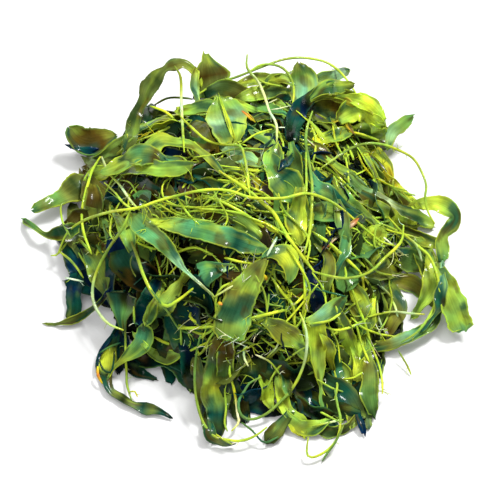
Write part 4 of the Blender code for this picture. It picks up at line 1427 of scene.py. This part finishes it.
# the near right corner
small_blades_of(
    "south_east",
    ("lime grass lime lime", OVER,
     [(31, -20, 1), (33.5, -27, 2.4), (36, -34, 2.6), (38, -41, 1)], dict(rim="bright")),
    ("grass bright lime leaf", OVER,
     [(42, -26, 1.5), (40, -33, 3), (38.5, -38, 2.8), (35.5, -43, 1)], dict(rim="bright")),
    ("green lime green", OVER, [(42.5, -37, 1), (42, -44, 2.6), (40.5, -52, 1.4)]),
    ("leaf olive green moss", OVER,
     [(42, -38, 1.5, 7), (42.5, -45, 3, 6), (42.5, -52, 3.2, 4), (44, -59, 2, 2)]),
    ("black moss deep", -1, [(20, -48, 3), (27, -51, 4.5), (33, -52, 4.5), (38, -50, 3)], dict(rim="moss")),
    ("moss deep olive", -1,
     [(30, -42, 3), (36, -47, 4.5), (40, -53, 4), (41, -60, 2.5)], dict(rim="olive")),
    ("moss black moss", -1, [(47, -30, 3), (44, -38, 4.5), (44, -47, 3)], dict(rim="olive")),
    ("leaf grass leaf", OVER, [(31, -39, 1), (34, -44.5, 2.6), (35, -50, 1)], dict(rim="bright")),
    ("navy deep teal navy", OVER,
     [(28, -31, 1), (30, -38, 2), (31.5, -45, 2), (33, -50, 1)], dict(rim="teal")),
    ("leaf lime brown", OVER,
     [(25.5, -30, 1), (27.8, -34.5, 2.2), (29.2, -39, 2.4), (30, -43, 0.8)], dict(rim="bright")),
    ("moss deep olive", 0, [(27, -46, 3, 4), (34, -52, 4.5, 3), (38, -58, 3, 2)], dict(rim="olive")),
    ("olive grass olive", OVER, [(34, -52, 1), (37, -57.5, 3.2), (36, -63, 1.4, 2)], dict(rim="bright")),
    ("deep navy", OVER, [(38, -58, 1), (39.5, -62, 1.4, 2), (40.5, -65.5, 0.6, 1)], dict(rim="navy")),
    ("olive leaf olive", -1, [(44, -14, 2), (46, -22, 4.5), (45, -30, 4)]),
    ("moss black moss", -1, [(50, -20, 3), (50, -28, 5), (46, -35, 4)], dict(rim="olive")),
    ("olive green moss", 1, [(38, -22, 2), (44, -33, 3.5), (45, -42, 3)]),
    ("moss black deep", -1, [(26, -46, 3), (33, -52, 4), (40, -54, 3)], dict(rim="moss")),
    ("moss olive brown", 0, [(50, -14, 3, 5), (53, -20, 3.4, 4), (50, -27, 3, 3)], dict(rim="olive")),
    ("leaf lime grass", OVER, [(37, -36, 1), (38.5, -42, 2.2), (38, -47, 1.2)], dict(rim="bright")),
    ("bright lime grass", OVER, [(44, -19, 1), (43, -25, 2.4), (40.5, -30, 1.6)], dict(rim="bright")),
)
# the near side
small_blades_of(
    "south",
    ("moss black moss", 0, [(14, -53, 2), (21, -58, 4), (29, -60, 3), (34, -59, 1.5)], dict(rim="green")),
    ("leaf grass leaf", OVER,
     [(13, -58, 1, 4), (18, -62.5, 3, 3), (24, -62.5, 2.6, 3), (28, -60, 0.8, 4)], dict(rim="bright")),
    ("olive moss olive", 0,
     [(22, -62, 1.2, 2), (28, -64.5, 2.6, 1.5), (34, -63, 1.6, 2), (37, -60, 0.8, 3)]),
    (
        "deep moss olive moss", OVER,
        [(14, -58, 1.6, 4), (11, -62, 2.8, 3), (8, -65.5, 3, 2), (6.2, -67.6, 2.6, 1)],
        dict(rim="moss", blunt=0.2),
    ),
    ("green lime bright leaf", OVER, [(6.5, -40, 1), (5.6, -45, 2.5), (6, -51, 2.6), (8, -56.5, 1)]),
    ("green deep green", OVER, [(11.5, -41, 1), (12.5, -46, 2.2), (14, -51, 1.2)], dict(rim="grass")),
    ("navy navy black", 0, [(-5, -49, 3), (0, -54, 5.5), (6, -57, 4)], dict(rim="navy")),
    ("black navy deep", 0, [(16, -46, 2), (20, -52, 4.5), (20, -58, 3)], dict(rim="moss")),
    ("navy black moss", 0, [(-22, -34, 3), (-20.5, -41, 4.5), (-19, -48, 4)], dict(rim="deep")),
    ("moss olive moss", 1,
     [(-19, -40, 2, 6), (-17.5, -47, 3.4, 5), (-16.5, -53, 2.6, 4)], dict(rim="olive")),
    ("black moss black", -2, [(-4, -34, 3), (1, -41, 5), (2, -48, 4)], dict(rim="moss")),
    ("moss navy olive", 0, [(-11, -50, 3, 3), (-14, -56, 3.5, 2), (-14.8, -61, 2.4, 1)], dict(rim="olive")),
    (
        "moss deep olive deep", OVER,
        [(-14.5, -62, 2, 1), (-13.5, -66, 2.2, 1), (-9.5, -68.6, 1.8, 1), (-5.5, -68.4, 1, 1)],
        dict(rim="green"),
    ),
    ("olive brown green", 0, [(-9, -29, 2), (-8.5, -37, 3.5), (-9, -45, 3)]),
    ("leaf lime green", 0, [(14, -28, 1.5), (17, -34, 2.6), (21, -39, 1.4)]),
    ("navy moss black", 0, [(-9, -46, 3, 3), (-5, -52, 4, 2), (-3, -58, 3.5, 1.5)], dict(rim="moss")),
    ("leaf olive grass lime", 1.5,
     [(6.5, -25.5, 2), (10.5, -28, 4), (15, -31, 3.8), (19, -34.5, 1.5)], dict(rim="bright")),
    ("moss black moss", -1, [(8, -42, 4), (16, -45, 5), (24, -44, 4)], dict(rim="moss")),
    ("black moss deep", 0, [(24, -53, 2.5, 3), (31, -56.5, 3, 3), (37, -58, 2, 3)], dict(rim="moss")),
)
small_blades_of(
    "south_east",
    ("olive moss olive", 0, [(31, -37, 2.5), (35, -41, 3), (38, -46, 2)], dict(rim="leaf")),
)
# the near left corner
small_blades_of(
    "south_west",
    ("deep navy deep", 1, [(-33, -31, 3), (-37, -36, 4), (-39, -41, 3)], dict(rim="teal")),
    ("moss black deep", 1, [(-27, -32, 3.5), (-28.5, -38, 4.2), (-28.5, -44, 2.6)], dict(rim="deep")),
    (
        "deep black deep moss", 0,
        [
            (-44, -38, 2, 3), (-37, -39, 3.4, 3), (-31, -39, 3.4, 3), (-26, -41.5, 3.4, 3),
            (-21, -47, 2.6, 3),
        ],
        dict(rim="green", wave=1.4),
    ),
    ("deep green moss", 1, [(-40, -24, 2.5), (-36, -29, 4), (-31, -34, 3)], dict(rim="teal")),
    ("moss deep green", 0.5, [(-30, -22, 2.5), (-26, -28, 4), (-25, -35, 3)], dict(rim="olive")),
    ("black navy moss", -1, [(-26, -15, 3), (-22, -21, 5), (-19, -28, 4)], dict(rim="moss")),
    ("navy deep navy", OVER, [(-34.5, -14, 2.5), (-37.5, -20, 3.6), (-39, -27, 2.4)], dict(rim="teal")),
    ("grass leaf leaf olive", OVER,
     [(-24.5, -11.5, 1.6), (-28.5, -17, 3.6), (-32, -22.5, 3.6), (-35.5, -28, 2)]),
    ("navy deep green", 0, [(-46, -27, 1.5), (-48.5, -33, 2.6), (-50, -39, 2)], dict(rim="teal")),
    ("deep navy black", 0, [(-45, -36, 1.5), (-42, -38, 2.6), (-39, -38.5, 2)], dict(rim="deep")),
    ("black moss navy", -2, [(-32, -28, 4), (-29, -33, 5), (-24, -38, 4)], dict(rim="moss")),
    ("leaf grass olive leaf", OVER,
     [(-38, -33, 0.8), (-34, -37, 1.8), (-29, -38.2, 2.8), (-24, -36, 1)], dict(rim="bright")),
    ("deep navy black", 0,
     [(-46.5, -28, 2, 3), (-46, -34, 2.8, 3), (-46.5, -40, 2.2, 3)], dict(rim="deep")),
    ("navy black deep", 0,
     [(-44, -40, 2, 2), (-40.5, -43, 2.6, 1.5), (-37.5, -45, 1.6, 1)], dict(rim="deep")),
    ("deep navy deep", OVER,
     [(-50.5, -32.5, 0.8), (-53.6, -37.5, 1.2), (-54.6, -43, 0.8)], dict(rim="navy", rooted_ends=False)),
    ("green grass leaf", OVER, [(-32.5, -16.5, 0.8), (-34.8, -21.5, 2.2), (-36.8, -26.5, 1.2)]),
)
# the left side
small_blades_of(
    "west",
    ("green moss green", OVER,
     [(-79, 8.5, 0.4, 5), (-74, 5.2, 1.4, 5), (-69, 5.8, 2.8, 6), (-62, 8.5, 2.4, 6)]),
    ("olive moss navy", OVER,
     [(-69, -26.5, 0.5, 2), (-64, -25.5, 1.4, 2), (-59, -23, 1.2, 4), (-54, -19, 1, 6), (-50, -14, 1, 9)]),
    ("moss olive leaf olive navy", 2,
     [(-59, 0, 2, 8), (-56, -5, 4, 8), (-53.5, -10, 3.8, 8), (-51.5, -15, 1.6, 6)], dict(rim="leaf")),
    ("olive deep navy deep", 1, [(-50.5, -3, 1.6), (-49.5, -8, 3.4), (-50, -14, 2.6)], dict(rim="olive")),
    ("black moss black black", 1.5, [(-47, 1, 4), (-42, -5, 7), (-36, -11, 5)], dict(rim="brown")),
    ("moss brown olive", 0, [(-66, 9, 2, 7), (-62, 12, 3, 8), (-57, 13, 2, 9)], dict(rim="olive")),
    ("brown olive brown", 0, [(-59, 25, 3, 8), (-56, 20, 5.5, 8), (-54, 13, 4, 8)], dict(rim="olive")),
    ("moss olive deep", 0, [(-64, 12, 3, 5), (-62, 5, 4.4, 5), (-60, -2, 3, 5)], dict(rim="olive")),
    ("olive brown olive", 1, [(-58, 24, 2, 9), (-56.5, 18, 3.6, 9), (-55, 12, 2.4, 9)], dict(rim="grass")),
    ("leaf teal leaf", 1, [(-52, 9, 1.5), (-50, 3, 3), (-47, -3, 2)]),
    ("navy black navy", 0, [(-66, 2, 2, 4), (-60, -3, 4, 5), (-56, -10, 4, 5)], dict(rim="moss")),
    ("deep navy black", 0, [(-62, -13, 2, 3), (-56, -14, 4, 5), (-51, -18, 3, 6)], dict(rim="moss")),
    ("green leaf teal", 2, [(-47, 11, 1.5), (-44, 6, 2.6), (-42, 0, 1.6)]),
)
# the far left corner
small_blades_of(
    "north_west",
    ("navy deep navy", OVER,
     [(-62, 37, 0.8), (-59, 36.2, 2), (-56, 37, 0.8)], dict(rim="brown", rooted_ends=False)),
    ("black brown black", -3, [(-46, 26, 3), (-40, 22.5, 4.2), (-33, 20, 3)], dict(rim="brown")),
    ("brown olive brown", 0, [(-56, 31, 2, 8), (-52, 31.5, 2.6, 9), (-47, 33, 2, 10)], dict(rim="olive")),
    ("olive leaf olive", 1, [(-54, 35, 1.5, 9), (-48, 38, 3, 11), (-42, 41, 2.6, 14), (-38, 46, 1.4, 16)]),
    ("moss deep moss", -1, [(-46, 37, 2), (-42, 43, 4, 14), (-38, 49, 3, 16)], dict(rim="green")),
    ("green leaf grass", OVER, [(-40, 44, 1, 15), (-34, 47.5, 2.4, 18), (-28, 48.5, 2, 22)]),
    ("black navy black", 0, [(-40, 33, 2), (-34, 34.5, 3.5), (-27, 34, 2.5)], dict(rim="olive")),
    ("brown olive teal brown", 3, [(-39, 33, 1.2), (-34, 33.3, 2.2), (-28, 32.6, 1.2)], dict(rim="olive")),
    ("olive brown", 0, [(-57, 31, 2, 7), (-54, 29, 3, 8), (-50, 27, 2.5, 9)], dict(rim="leaf")),
    ("grass leaf teal brown teal", OVER,
     [(-45, 32.3, 2), (-40, 34, 4.2), (-35, 33.5, 3.4), (-29, 31.5, 1.4)]),
    ("black moss black", 0, [(-40, 42, 3, 10), (-35, 44.5, 4, 12), (-29, 47, 3, 14)], dict(rim="olive")),
)
# the middle
small_blades_of(
    "middle",
    ("olive leaf lime", -0.5, [(-10, 13.5, 1), (-4, 10.5, 3), (1, 6.5, 2.6), (5, 3, 1)]),
    ("green moss green", -1, [(-21, 24, 1.5), (-16, 22.5, 3.2), (-9, 22, 2)]),
    ("black olive black", -3, [(-30, 22, 2), (-24, 14, 4), (-16, 11, 3)], dict(rim="olive")),
    ("moss deep black", -2, [(-4, 27, 3), (2, 24, 4), (8, 22, 3)], dict(rim="olive")),
    ("deep moss black", -3, [(0, 14, 3), (5, 16, 4), (9.5, 12.5, 2.4)], dict(rim="olive")),
    ("brown mustard brown", 0, [(-1, 24.5, 1.2), (2, 23.5, 2), (5, 22.5, 1)], dict(rim="yellow")),
    ("navy black moss", -2, [(-12, 0, 3), (-6, -3, 4), (0, -6, 3)], dict(rim="moss")),
    ("moss black moss", -2, [(10, -4, 3), (14, -10, 4), (20, -13, 3)], dict(rim="moss")),
    ("black moss olive", -2, [(-20, -2, 3), (-13, -3, 4), (-8, -10, 3)], dict(rim="moss")),
    ("deep black moss", -2, [(-12, -16, 3), (-14, -23, 4), (-13, -29, 3)], dict(rim="moss")),
    ("black deep moss", -2, [(6, -13, 3), (9, -20, 4), (8, -28, 3)], dict(rim="moss")),
    ("moss olive leaf", 0, [(24, 2, 1.5), (28, -4, 3), (27, -12, 2)]),
)
# low on the far slope
small_blades_of(
    "north_east",
    ("leaf lime grass olive", 2,
     [(-46, -20, 1), (-40, -23, 3.4), (-33, -25, 3.6), (-26, -26, 1.4)], dict(rim="bright")),
    ("olive moss green", 2,
     [(-31, -22, 1), (-26, -27, 4), (-22, -34, 3.6), (-19, -40, 1.2)], dict(rim="leaf")),
    ("green teal deep", 2, [(-50, -26, 1), (-44, -30, 3.4), (-38, -32, 3.4), (-32, -36, 1.2)]),
    ("brown olive mustard", 2, [(-50, -33, 1.2), (-44, -37, 3), (-38, -40, 3), (-33, -42, 1)]),
    ("grass bright lime", 2,
     [(-24, -18, 1), (-19, -22, 2.8), (-16, -28, 3), (-15, -34, 1)], dict(rim="bright")),
    board=back,
)
small_blades_of(
    "north",
    ("teal green leaf waxy", 2,
     [(-14, -19, 1), (-8, -22, 3.6), (-4, -28, 4), (-3, -35, 1.6)], dict(rim="bright")),
    ("deep moss olive", 2, [(2, -28, 1.2), (8, -33, 4), (12, -40, 3.6), (14, -46, 1.2)], dict(rim="green")),
    ("lime grass leaf green", 2,
     [(4, -18, 1), (10, -21, 3.2), (14, -27, 3.8), (15, -34, 1.4)], dict(rim="bright")),
    ("moss deep navy", 2,
     [(-22, -40, 1.4), (-15, -42, 3.4), (-8, -45, 3), (-2, -47, 1)], dict(rim="green")),
    ("leaf grass olive", 2, [(-14, -26, 1), (-8, -29, 3), (-2, -34, 3.2), (2, -41, 1.2)]),
    board=back,
)
small_blades_of(
    "north_west",
    ("grass lime bright leaf", 2,
     [(20, -19, 1), (27, -21, 3.2), (33, -25, 3.6), (37, -31, 1.4)], dict(rim="bright")),
    ("waxy leaf green moss", 2, [(30, -24, 1), (37, -27, 3.4), (45, -29, 3.6), (52, -33, 1.4)]),
    ("olive leaf grass", 2, [(20, -28, 1), (26, -33, 3.6), (30, -39, 3.4), (31, -45, 1.2)]),
    ("moss olive brown", 2,
     [(38, -33, 1.4), (44, -36, 3.4), (50, -38, 3), (55, -40, 1)], dict(rim="grass")),
    ("leaf green teal", 2, [(42, -18, 1), (47, -22, 3), (51, -27, 3), (54, -33, 1)]),
    board=back,
)
for side, parts in small_blades.items():
    joined("small_blades_" + side, parts, side)

# ---------------------------------------------------------------- the thin runners
# Younger runners and side shoots lie over the blades in loops, or hang between them.  They are
# thinner than the long ones, and short pale root hairs stand out from many of them.
STEM_GAP = 0.2
SHORT_STEM_HAIRS = ["pale", "cream", "lime", "grass"]
small_stems = {name: [] for name in STANDS_FOR}


def thin(group, tones, radius, route, gap=12.0):
    """One thin runner, over the pile.  Each point is (u, v) or (u, v, least height)."""
    stations = smooth_route([(*point, 0.0)[:3] for point in route], STEM_STEP)
    across = directions_across(stations)
    widths, heights = [radius] * len(stations), [row[2] for row in stations]
    depths, _ = rest(front, stations, across, widths, heights, OVER, radius + STEM_GAP)
    name = "thin_runner_" + group + "_" + str(len(small_stems[group]))
    run = close_ends(stem_run(name, front, stations, ease(depths, 3), radius, tones))
    shoots = root_hairs(random.Random(name), run, gap, (1.0, 3.2), SHORT_STEM_HAIRS)
    piece = tube(name, [run] + shoots, 6)
    small_stems[group].append(piece)
    pile.add([piece])


def thin_runners_of(group, *rows):
    """Lays thin runners in turn.  Each row is tones, radius, route and, for some, the hairs' gap."""
    for row in rows:
        thin(group, *row)


# under the others
thin_runners_of(
    "middle",
    ("lime bright lime", 0.42, [(-22, 13.7), (-12, 13.5), (-2, 11), (5, 8.3), (10.3, 5.9)]),
    ("lime grass lime", 0.42, [(-15, 19.3), (-8, 17), (0, 13.5), (7, 9), (12.6, 5.5)]),
    ("bright lime", 0.45, [(-11.3, 25), (-4, 23.5), (3, 21), (7.5, 18.3)]),
    ("lime lime", 0.42, [(-32, 17), (-25, 15.5), (-18, 15), (-10, 15.5)]),
    ("lime lime bright", 0.5, [(-18, 14.5), (-10, 14), (-4, 13), (1, 11), (6, 9), (10, 6.5)]),
)
thin_runners_of(
    "north",
    ("leaf lime pale lime bright", 0.56,
     [(-27.5, 67, 28), (-25.3, 63, 27), (-25, 55, 24), (-24.5, 47), (-24, 41), (-23.5, 35)]),
)
thin_runners_of(
    "north_west",
    ("olive moss olive", 0.45, [(-35, 53, 18), (-30, 55.5, 20), (-24, 55.5, 22), (-21, 55, 22)]),
    ("lime bright lime", 0.5, [(-36.5, 52.5, 18), (-31, 50.5, 20), (-27, 47)]),
)
thin_runners_of(
    "north",
    ("lime leaf grass lime", 0.5,
     [(0, 65, 28), (4, 67.3, 28), (9, 67.5, 27), (13, 65.5, 26), (15.5, 61, 26), (16, 57), (15.5, 53)]),
    ("leaf lime leaf", 0.4, [(2.5, 62, 28), (6, 60.5, 28), (12, 59.5, 27)]),
    ("lime leaf lime", 0.38, [(-20, 33), (-12, 34), (-5, 36), (5, 36)]),
    ("lime bright lime", 0.42, [(-3, 38), (2, 41.5), (8, 43.5)]),
)
thin_runners_of(
    "north_east",
    ("lime lime grass", 0.48, [(22, 45), (23.5, 41), (23.5, 36), (22.5, 31)]),
    ("lime grass lime", 0.48, [(20, 35), (20, 27), (20, 20)]),
)
thin_runners_of(
    "north",
    ("cream pale", 0.24, [(7.5, 50.8, 30), (10.5, 51.2, 30), (14.2, 52.2, 30)], 3.0),
    ("pale cream", 0.22, [(6.5, 53, 30), (8, 53.8, 30), (9.8, 54.6, 30)], 90.0),
    ("cream", 0.2, [(10, 44), (11.5, 44.1), (13, 44)], 90.0),
)
thin_runners_of(
    "north_east",
    ("cream", 0.24, [(20, 40), (21.6, 38.7), (23.4, 37.3)], 90.0),
)
thin_runners_of(
    "north_west",
    ("olive lime leaf", 0.5, [(-51, 33.5), (-46.5, 36.5), (-42.5, 40.5)], 5.0),
    ("lime olive grass", 0.45, [(-53, 33), (-49, 37), (-44, 41.5)], 6.0),
)
# the left side
thin_runners_of(
    "north_west",
    ("pale lime pale lime", 0.5, [(-54, 34), (-51, 28), (-47, 23.5), (-43, 18), (-39, 14)]),
    ("lime lime bright", 0.45, [(-53, 24.5), (-49, 21), (-45.5, 17), (-41, 14)]),
)
thin_runners_of(
    "west",
    ("leaf lime leaf", 0.42, [(-67, 17.5, 9), (-68.7, 16, 8), (-68, 11, 7), (-66, 7, 7), (-64.5, 4.5, 7)]),
    ("lime leaf lime", 0.45, [(-69, -0.5, 6), (-65, -3.5, 6), (-62, -7, 6), (-60, -10, 6)]),
    ("lime bright grass", 0.42, [(-47, 17), (-49.5, 12), (-50, 6), (-48, 3)]),
    ("lime grass lime", 0.5, [(-62, 4), (-58, 0), (-57, -1.5)]),
    ("grass lime leaf", 0.45, [(-62, -1), (-59, -6), (-57, -12)]),
    ("leaf olive leaf", 0.4, [(-41, -1), (-42.5, -4), (-41.5, -8), (-39.5, -10.5)]),
    ("pale cream pale", 0.35, [(-66.5, -10, 6), (-60, -11.3, 7)], 3.0),
    ("lime grass", 0.4, [(-72, -2, 3), (-69.5, -1.5, 4), (-66, 3, 6)]),
)
# the near left corner
thin_runners_of(
    "south_west",
    ("grass lime grass", 0.42, [(-41.3, -20), (-41, -26)]),
    ("leaf lime leaf", 0.45, [(-44.5, -28), (-44.3, -36), (-44, -44), (-43.8, -48), (-42, -53.5, 2)], 5.0),
    ("lime bright lime", 0.6, [(-25.5, -27.7), (-19, -27.5), (-12.5, -26.8)], 4.0),
    ("lime bright", 0.5, [(-21, -22), (-21, -24), (-18, -26)]),
    ("lime bright lime", 0.55, [(-34, -31), (-30, -33), (-25, -34.3)]),
    ("deep green deep", 0.4, [(-46, -33, 8), (-50, -34.5, 7), (-54, -37, 6)]),
    ("green leaf green", 0.35, [(-35, -14), (-29, -22), (-25, -28), (-20, -30)]),
    ("lime pale", 0.42, [(-12.5, -16.5), (-6, -12.5)]),
)
# the near side
thin_runners_of(
    "south_west",
    ("grass lime pale olive", 0.45, [(-24.5, -28), (-24.3, -34), (-23.5, -41), (-21.2, -51)], 5.0),
    ("yellow rust yellow", 0.5, [(-54.2, -41.5, 3), (-54.2, -44.5, 3), (-52.6, -47.5, 3)], 90.0),
    ("moss deep moss", 0.4,
     [(-53.6, -39.5), (-52.4, -42.5), (-49.6, -43.6), (-48.6, -40), (-48.4, -36)], 90.0),
    ("lime yellow", 0.35, [(-43, -50.5, 2), (-41, -50.3, 2), (-40, -52.3, 2)], 3.0),
)
thin_runners_of(
    "south",
    ("lime bright yellow cream yellow", 0.5,
     [(-6.5, -39), (-7.3, -43), (-6, -48), (-5, -53), (-4.5, -58), (-4, -61, 4), (-6.5, -64, 3)], 5.0),
    ("lime lime grass", 0.4, [(-9, -49), (-8.5, -56), (-9, -61, 4), (-8, -64, 3)]),
    ("teal waxy pale", 0.45, [(1.8, -31), (-1.4, -33.5), (-2.2, -37.5), (-0.6, -41)], 5.0),
    ("lime leaf", 0.4, [(-12, -65, 3), (-9, -67, 2), (-6.5, -68.5, 1.5)], 3.0),
    ("green deep green", 0.4, [(-3, -61, 3), (1, -64, 3), (5, -68, 2), (10, -66, 2)]),
    ("leaf lime pale lime", 0.42, [(22, -62.5, 3), (28, -61, 4), (33, -60, 4)], 5.0),
    ("leaf lime leaf", 0.42, [(16, -54), (24, -57), (30, -60, 4), (33, -61, 4)]),
)
thin_runners_of(
    "south_east",
    ("leaf green", 0.42, [(33, -62, 4), (30, -68, 3), (27, -72, 2), (25.5, -74.5, 1)]),
)
thin_runners_of(
    "south",
    ("lime grass leaf", 0.42, [(17.5, -30), (15.5, -37), (17.5, -42)]),
)
# the near right corner
thin_runners_of(
    "south_east",
    ("lime lime pale lime", 0.48, [(42, -24), (47, -22.8), (52, -22.2), (58, -22.8, 8), (62.5, -23, 8)]),
    ("lime bright lime lime", 0.48, [(26, -27), (31, -28.5), (37, -27), (42, -24.5)]),
    ("lime lime", 0.48, [(22, -26), (28, -25), (32, -22.5)]),
    ("leaf lime lime bright", 0.42, [(41.5, -31), (44, -36), (46, -41), (47, -47, 6), (47, -51, 4)], 3.0),
    ("grass lime", 0.36, [(53, -36, 4), (56, -41, 2), (57.5, -44.5, 1)], 5.0),
    ("lime pale lime", 0.42, [(45.5, -18), (46, -24), (48.5, -30)]),
    ("lime leaf lime", 0.42, [(53.5, -25), (50, -28.5), (47, -29.5)]),
    ("lime grass lime", 0.42, [(30, -43), (31, -48), (30, -53)]),
    ("bright lime", 0.42, [(33, -46), (37, -45.5), (40, -43.5)], 4.0),
)
# the right side
thin_runners_of(
    "east",
    ("pale lime pale", 0.48, [(45, -11.5), (50, -16), (52, -20), (53.5, -25.5)]),
    ("cream pale lime", 0.42, [(48, 4.5), (52, 1), (56, -2.5), (58, -7)], 6.0),
    ("lime grass lime", 0.45, [(50, -2.5), (54, -4.5), (57, -8.5)]),
    ("bright lime bright", 0.5, [(31, 3), (36, -1), (41, -6)], 5.0),
    ("lime bright lime", 0.45, [(36, -13), (38, -19), (41, -26), (43, -33)], 6.0),
)
thin_runners_of(
    "south_east",
    ("lime bright grass", 0.42, [(36, -24), (40, -27.5), (46, -30), (52, -31)], 5.0),
    ("lime grass", 0.4, [(50, -12), (51, -18), (49, -25), (45.5, -30)], 5.0),
)
thin_runners_of(
    "east",
    ("lime bright lime bright", 0.62, [(22, 6.5), (28, 2.5), (33, -2), (39, -7.5)], 7.0),
    ("grass lime leaf", 0.4, [(45, 8), (44.5, 2), (47, -1)]),
    ("lime lime pale", 0.45, [(50, 12), (55, 6, 8), (60, 1.5, 8), (62, -4, 8)]),
    ("lime bright grass", 0.42, [(44, 12), (49, 7.5), (56, 5.5, 8), (62, 4, 9)], 5.0),
    ("leaf lime", 0.42, [(41, -3), (46, -8), (51, -9)]),
    ("bright lime bright", 0.42, [(34, 36), (35, 30), (35.5, 24)], 5.0),
)
thin_runners_of(
    "north_east",
    ("lime yellow lime", 0.42, [(39, 36), (41, 31), (45, 26), (48, 22)], 4.0),
    ("lime grass lime", 0.45, [(50, 24), (55, 20), (60, 16, 12)]),
    ("yellow lime", 0.36, [(46, 26), (52, 23, 10), (57, 21.5, 12)], 3.0),
    ("lime bright grass", 0.42, [(22, 32), (27, 30), (33, 25), (39, 19)], 6.0),
    ("bright lime", 0.42, [(30, 45), (31, 39), (34, 33)], 5.0),
    ("lime yellow", 0.42, [(40, 44), (39, 38), (42, 33)], 5.0),
    ("yellow bright lime", 0.5, [(36, 43, 18), (41, 42, 16), (47, 40, 13)], 3.0),
)
# across the middle
thin_runners_of(
    "middle",
    ("pale waxy pale lime", 0.42, [(17.5, -2), (19, -8), (20, -15), (19.8, -21)], 8.0),
    ("lime bright lime bright lime", 0.62,
     [(7.5, -9.5), (11, -14.5), (15.2, -19.8), (15.6, -25), (16, -31), (16.5, -36)], 6.0),
    ("lime bright lime", 0.5, [(20.5, -13), (18.5, -16.5), (15.4, -19.6)]),
    ("lime bright lime", 0.45, [(17.2, -4), (18.8, -8), (19.3, -14), (19.2, -22)]),
    ("grass lime grass", 0.4, [(2, -9), (5, -15), (6, -22), (5, -29)]),
    ("lime bright grass", 0.42, [(24, -12), (20, -17), (14, -24), (8, -30)]),
)
thin_runners_of(
    "south",
    ("olive grass lime", 0.42, [(12, -33), (8, -37), (4, -42), (1, -47)]),
    ("leaf lime grass", 0.4, [(20, -34), (14, -38), (9, -43), (6, -49)]),
)
thin_runners_of(
    "south_east",
    ("lime bright lime", 0.42, [(28, -27), (31, -33), (32, -40)]),
    ("bright lime bright", 0.45, [(38, -27), (40, -34), (42.5, -40)]),
)
thin_runners_of(
    "middle",
    ("lime bright lime", 0.66, [(0, -24), (6, -22.7), (13, -21)], 4.0),
    ("pale cream waxy", 0.5, [(6, -2), (9.5, 4.5)]),
    ("yellow rust", 0.8, [(5, -9), (5.9, -10.4)], 90.0),
    ("yellow rust", 0.7, [(-11.2, -18.4), (-9.9, -19.2)], 90.0),
    ("deep teal deep", 0.42, [(22, -13.5), (28, -15), (34, -16.5)]),
    ("lime bright lime", 0.45, [(20, -20), (21, -13), (17, -5), (13, 1)]),
    ("lime grass bright", 0.45, [(10, 20), (12, 14), (17, 9), (21, 3), (20, -5)]),
    ("bright lime", 0.4, [(-26, 19), (-22, 13), (-18, 9)], 4.0),
    ("lime grass", 0.4, [(-32, 16), (-26, 12.5), (-20, 11), (-13, 10)], 4.0),
    ("grass lime bright", 0.4, [(-12, 19), (-8, 12), (-9, 8)]),
    ("lime lime", 0.45, [(0, 19), (-1, 25), (-3, 31)]),
    ("lime bright", 0.4, [(22, -8), (26, -14), (27, -20)]),
)
thin_runners_of(
    "south",
    ("lime bright lime", 0.45, [(4, -31), (9, -34.5), (14, -36)], 5.0),
    ("cream lime grass", 0.4, [(2, -37), (7, -39.5), (10.5, -44)], 4.0),
    ("pale lime", 0.4, [(9, -27), (10, -33), (6, -38)], 5.0),
)
thin_runners_of(
    "south_east",
    ("lime leaf", 0.4, [(24, -46), (29, -49), (35, -51)], 6.0),
)
for side, parts in small_stems.items():
    joined("thin_runners_" + side, parts, side)

# ---------------------------------------------------------------- the root hairs
# Where runners have lain together, tufts of short forked root hairs have grown out between them.
# They are pale, hardly thicker than a thread, and soft.
HAIR_PLACES = (
    ("middle", -27, 14, 9, 44, "lime grass bright lime"),
    ("middle", -18, -23.5, 5, 30, "cream pale lime lime"),
    ("middle", 13, -18, 8, 50, "lime bright cream lime"),
    ("middle", -2, -5, 7, 40, "cream lime pale"),
    ("middle", 10, -30, 7, 36, "cream lime bright"),
    ("middle", -14, 15, 7, 24, "lime grass bright"),
    ("middle", 4, 24, 8, 24, "lime grass pale"),
    ("east", 49, 4, 6, 30, "lime grass pale lime"),
    ("east", 33, 4, 8, 26, "lime grass lime"),
    ("east", 52, -13, 8, 30, "lime cream olive"),
    ("north_east", 42, 32, 9, 44, "lime yellow grass lime"),
    ("north_east", 34, 40, 6, 20, "yellow lime brown"),
    ("south", 0, -38, 9, 64, "cream pale lime lime"),
    ("south", -8, -33, 6, 24, "cream lime pale"),
    ("south_west", -22, -35, 7, 20, "cream pale lime"),
    ("west", -50, 8, 9, 36, "lime grass lime"),
    ("north", -6, 28, 9, 24, "lime cream grass"),
    ("north_west", -40, 42, 7, 24, "lime grass yellow"),
    ("south_east", 42, -30, 9, 36, "lime bright cream"),
    ("south_east", 47, -48, 4, 12, "bright lime"),
)
sprouting = random.Random(7)
for index, (group, u, v, reach, count, tones) in enumerate(HAIR_PLACES):
    hairs = []
    for _ in range(count):
        near_u, near_v = sprouting.gauss(u, 0.5 * reach), sprouting.gauss(v, 0.5 * reach)
        root = front.point(near_u, near_v, pile.depth(front, near_u, near_v) - sprouting.uniform(0.0, 2.0))
        if root.z < 3.0:
            continue
        heading = front.right * sprouting.uniform(-1, 1) + front.up * sprouting.uniform(-1, 1)
        heading = (heading + front.out * sprouting.uniform(-0.1, 0.5)).normalized()
        colour = tone(sprouting.choice(tones.split())) * sprouting.uniform(0.7, 1.1)
        hairs += fork(sprouting, root, heading, sprouting.uniform(3.0, 9.0), colour, 2)
    piece = tube("root_hairs_" + group + "_" + str(index), hairs, 4)
    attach(piece, "root")
    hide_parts(*STANDS_FOR[group])
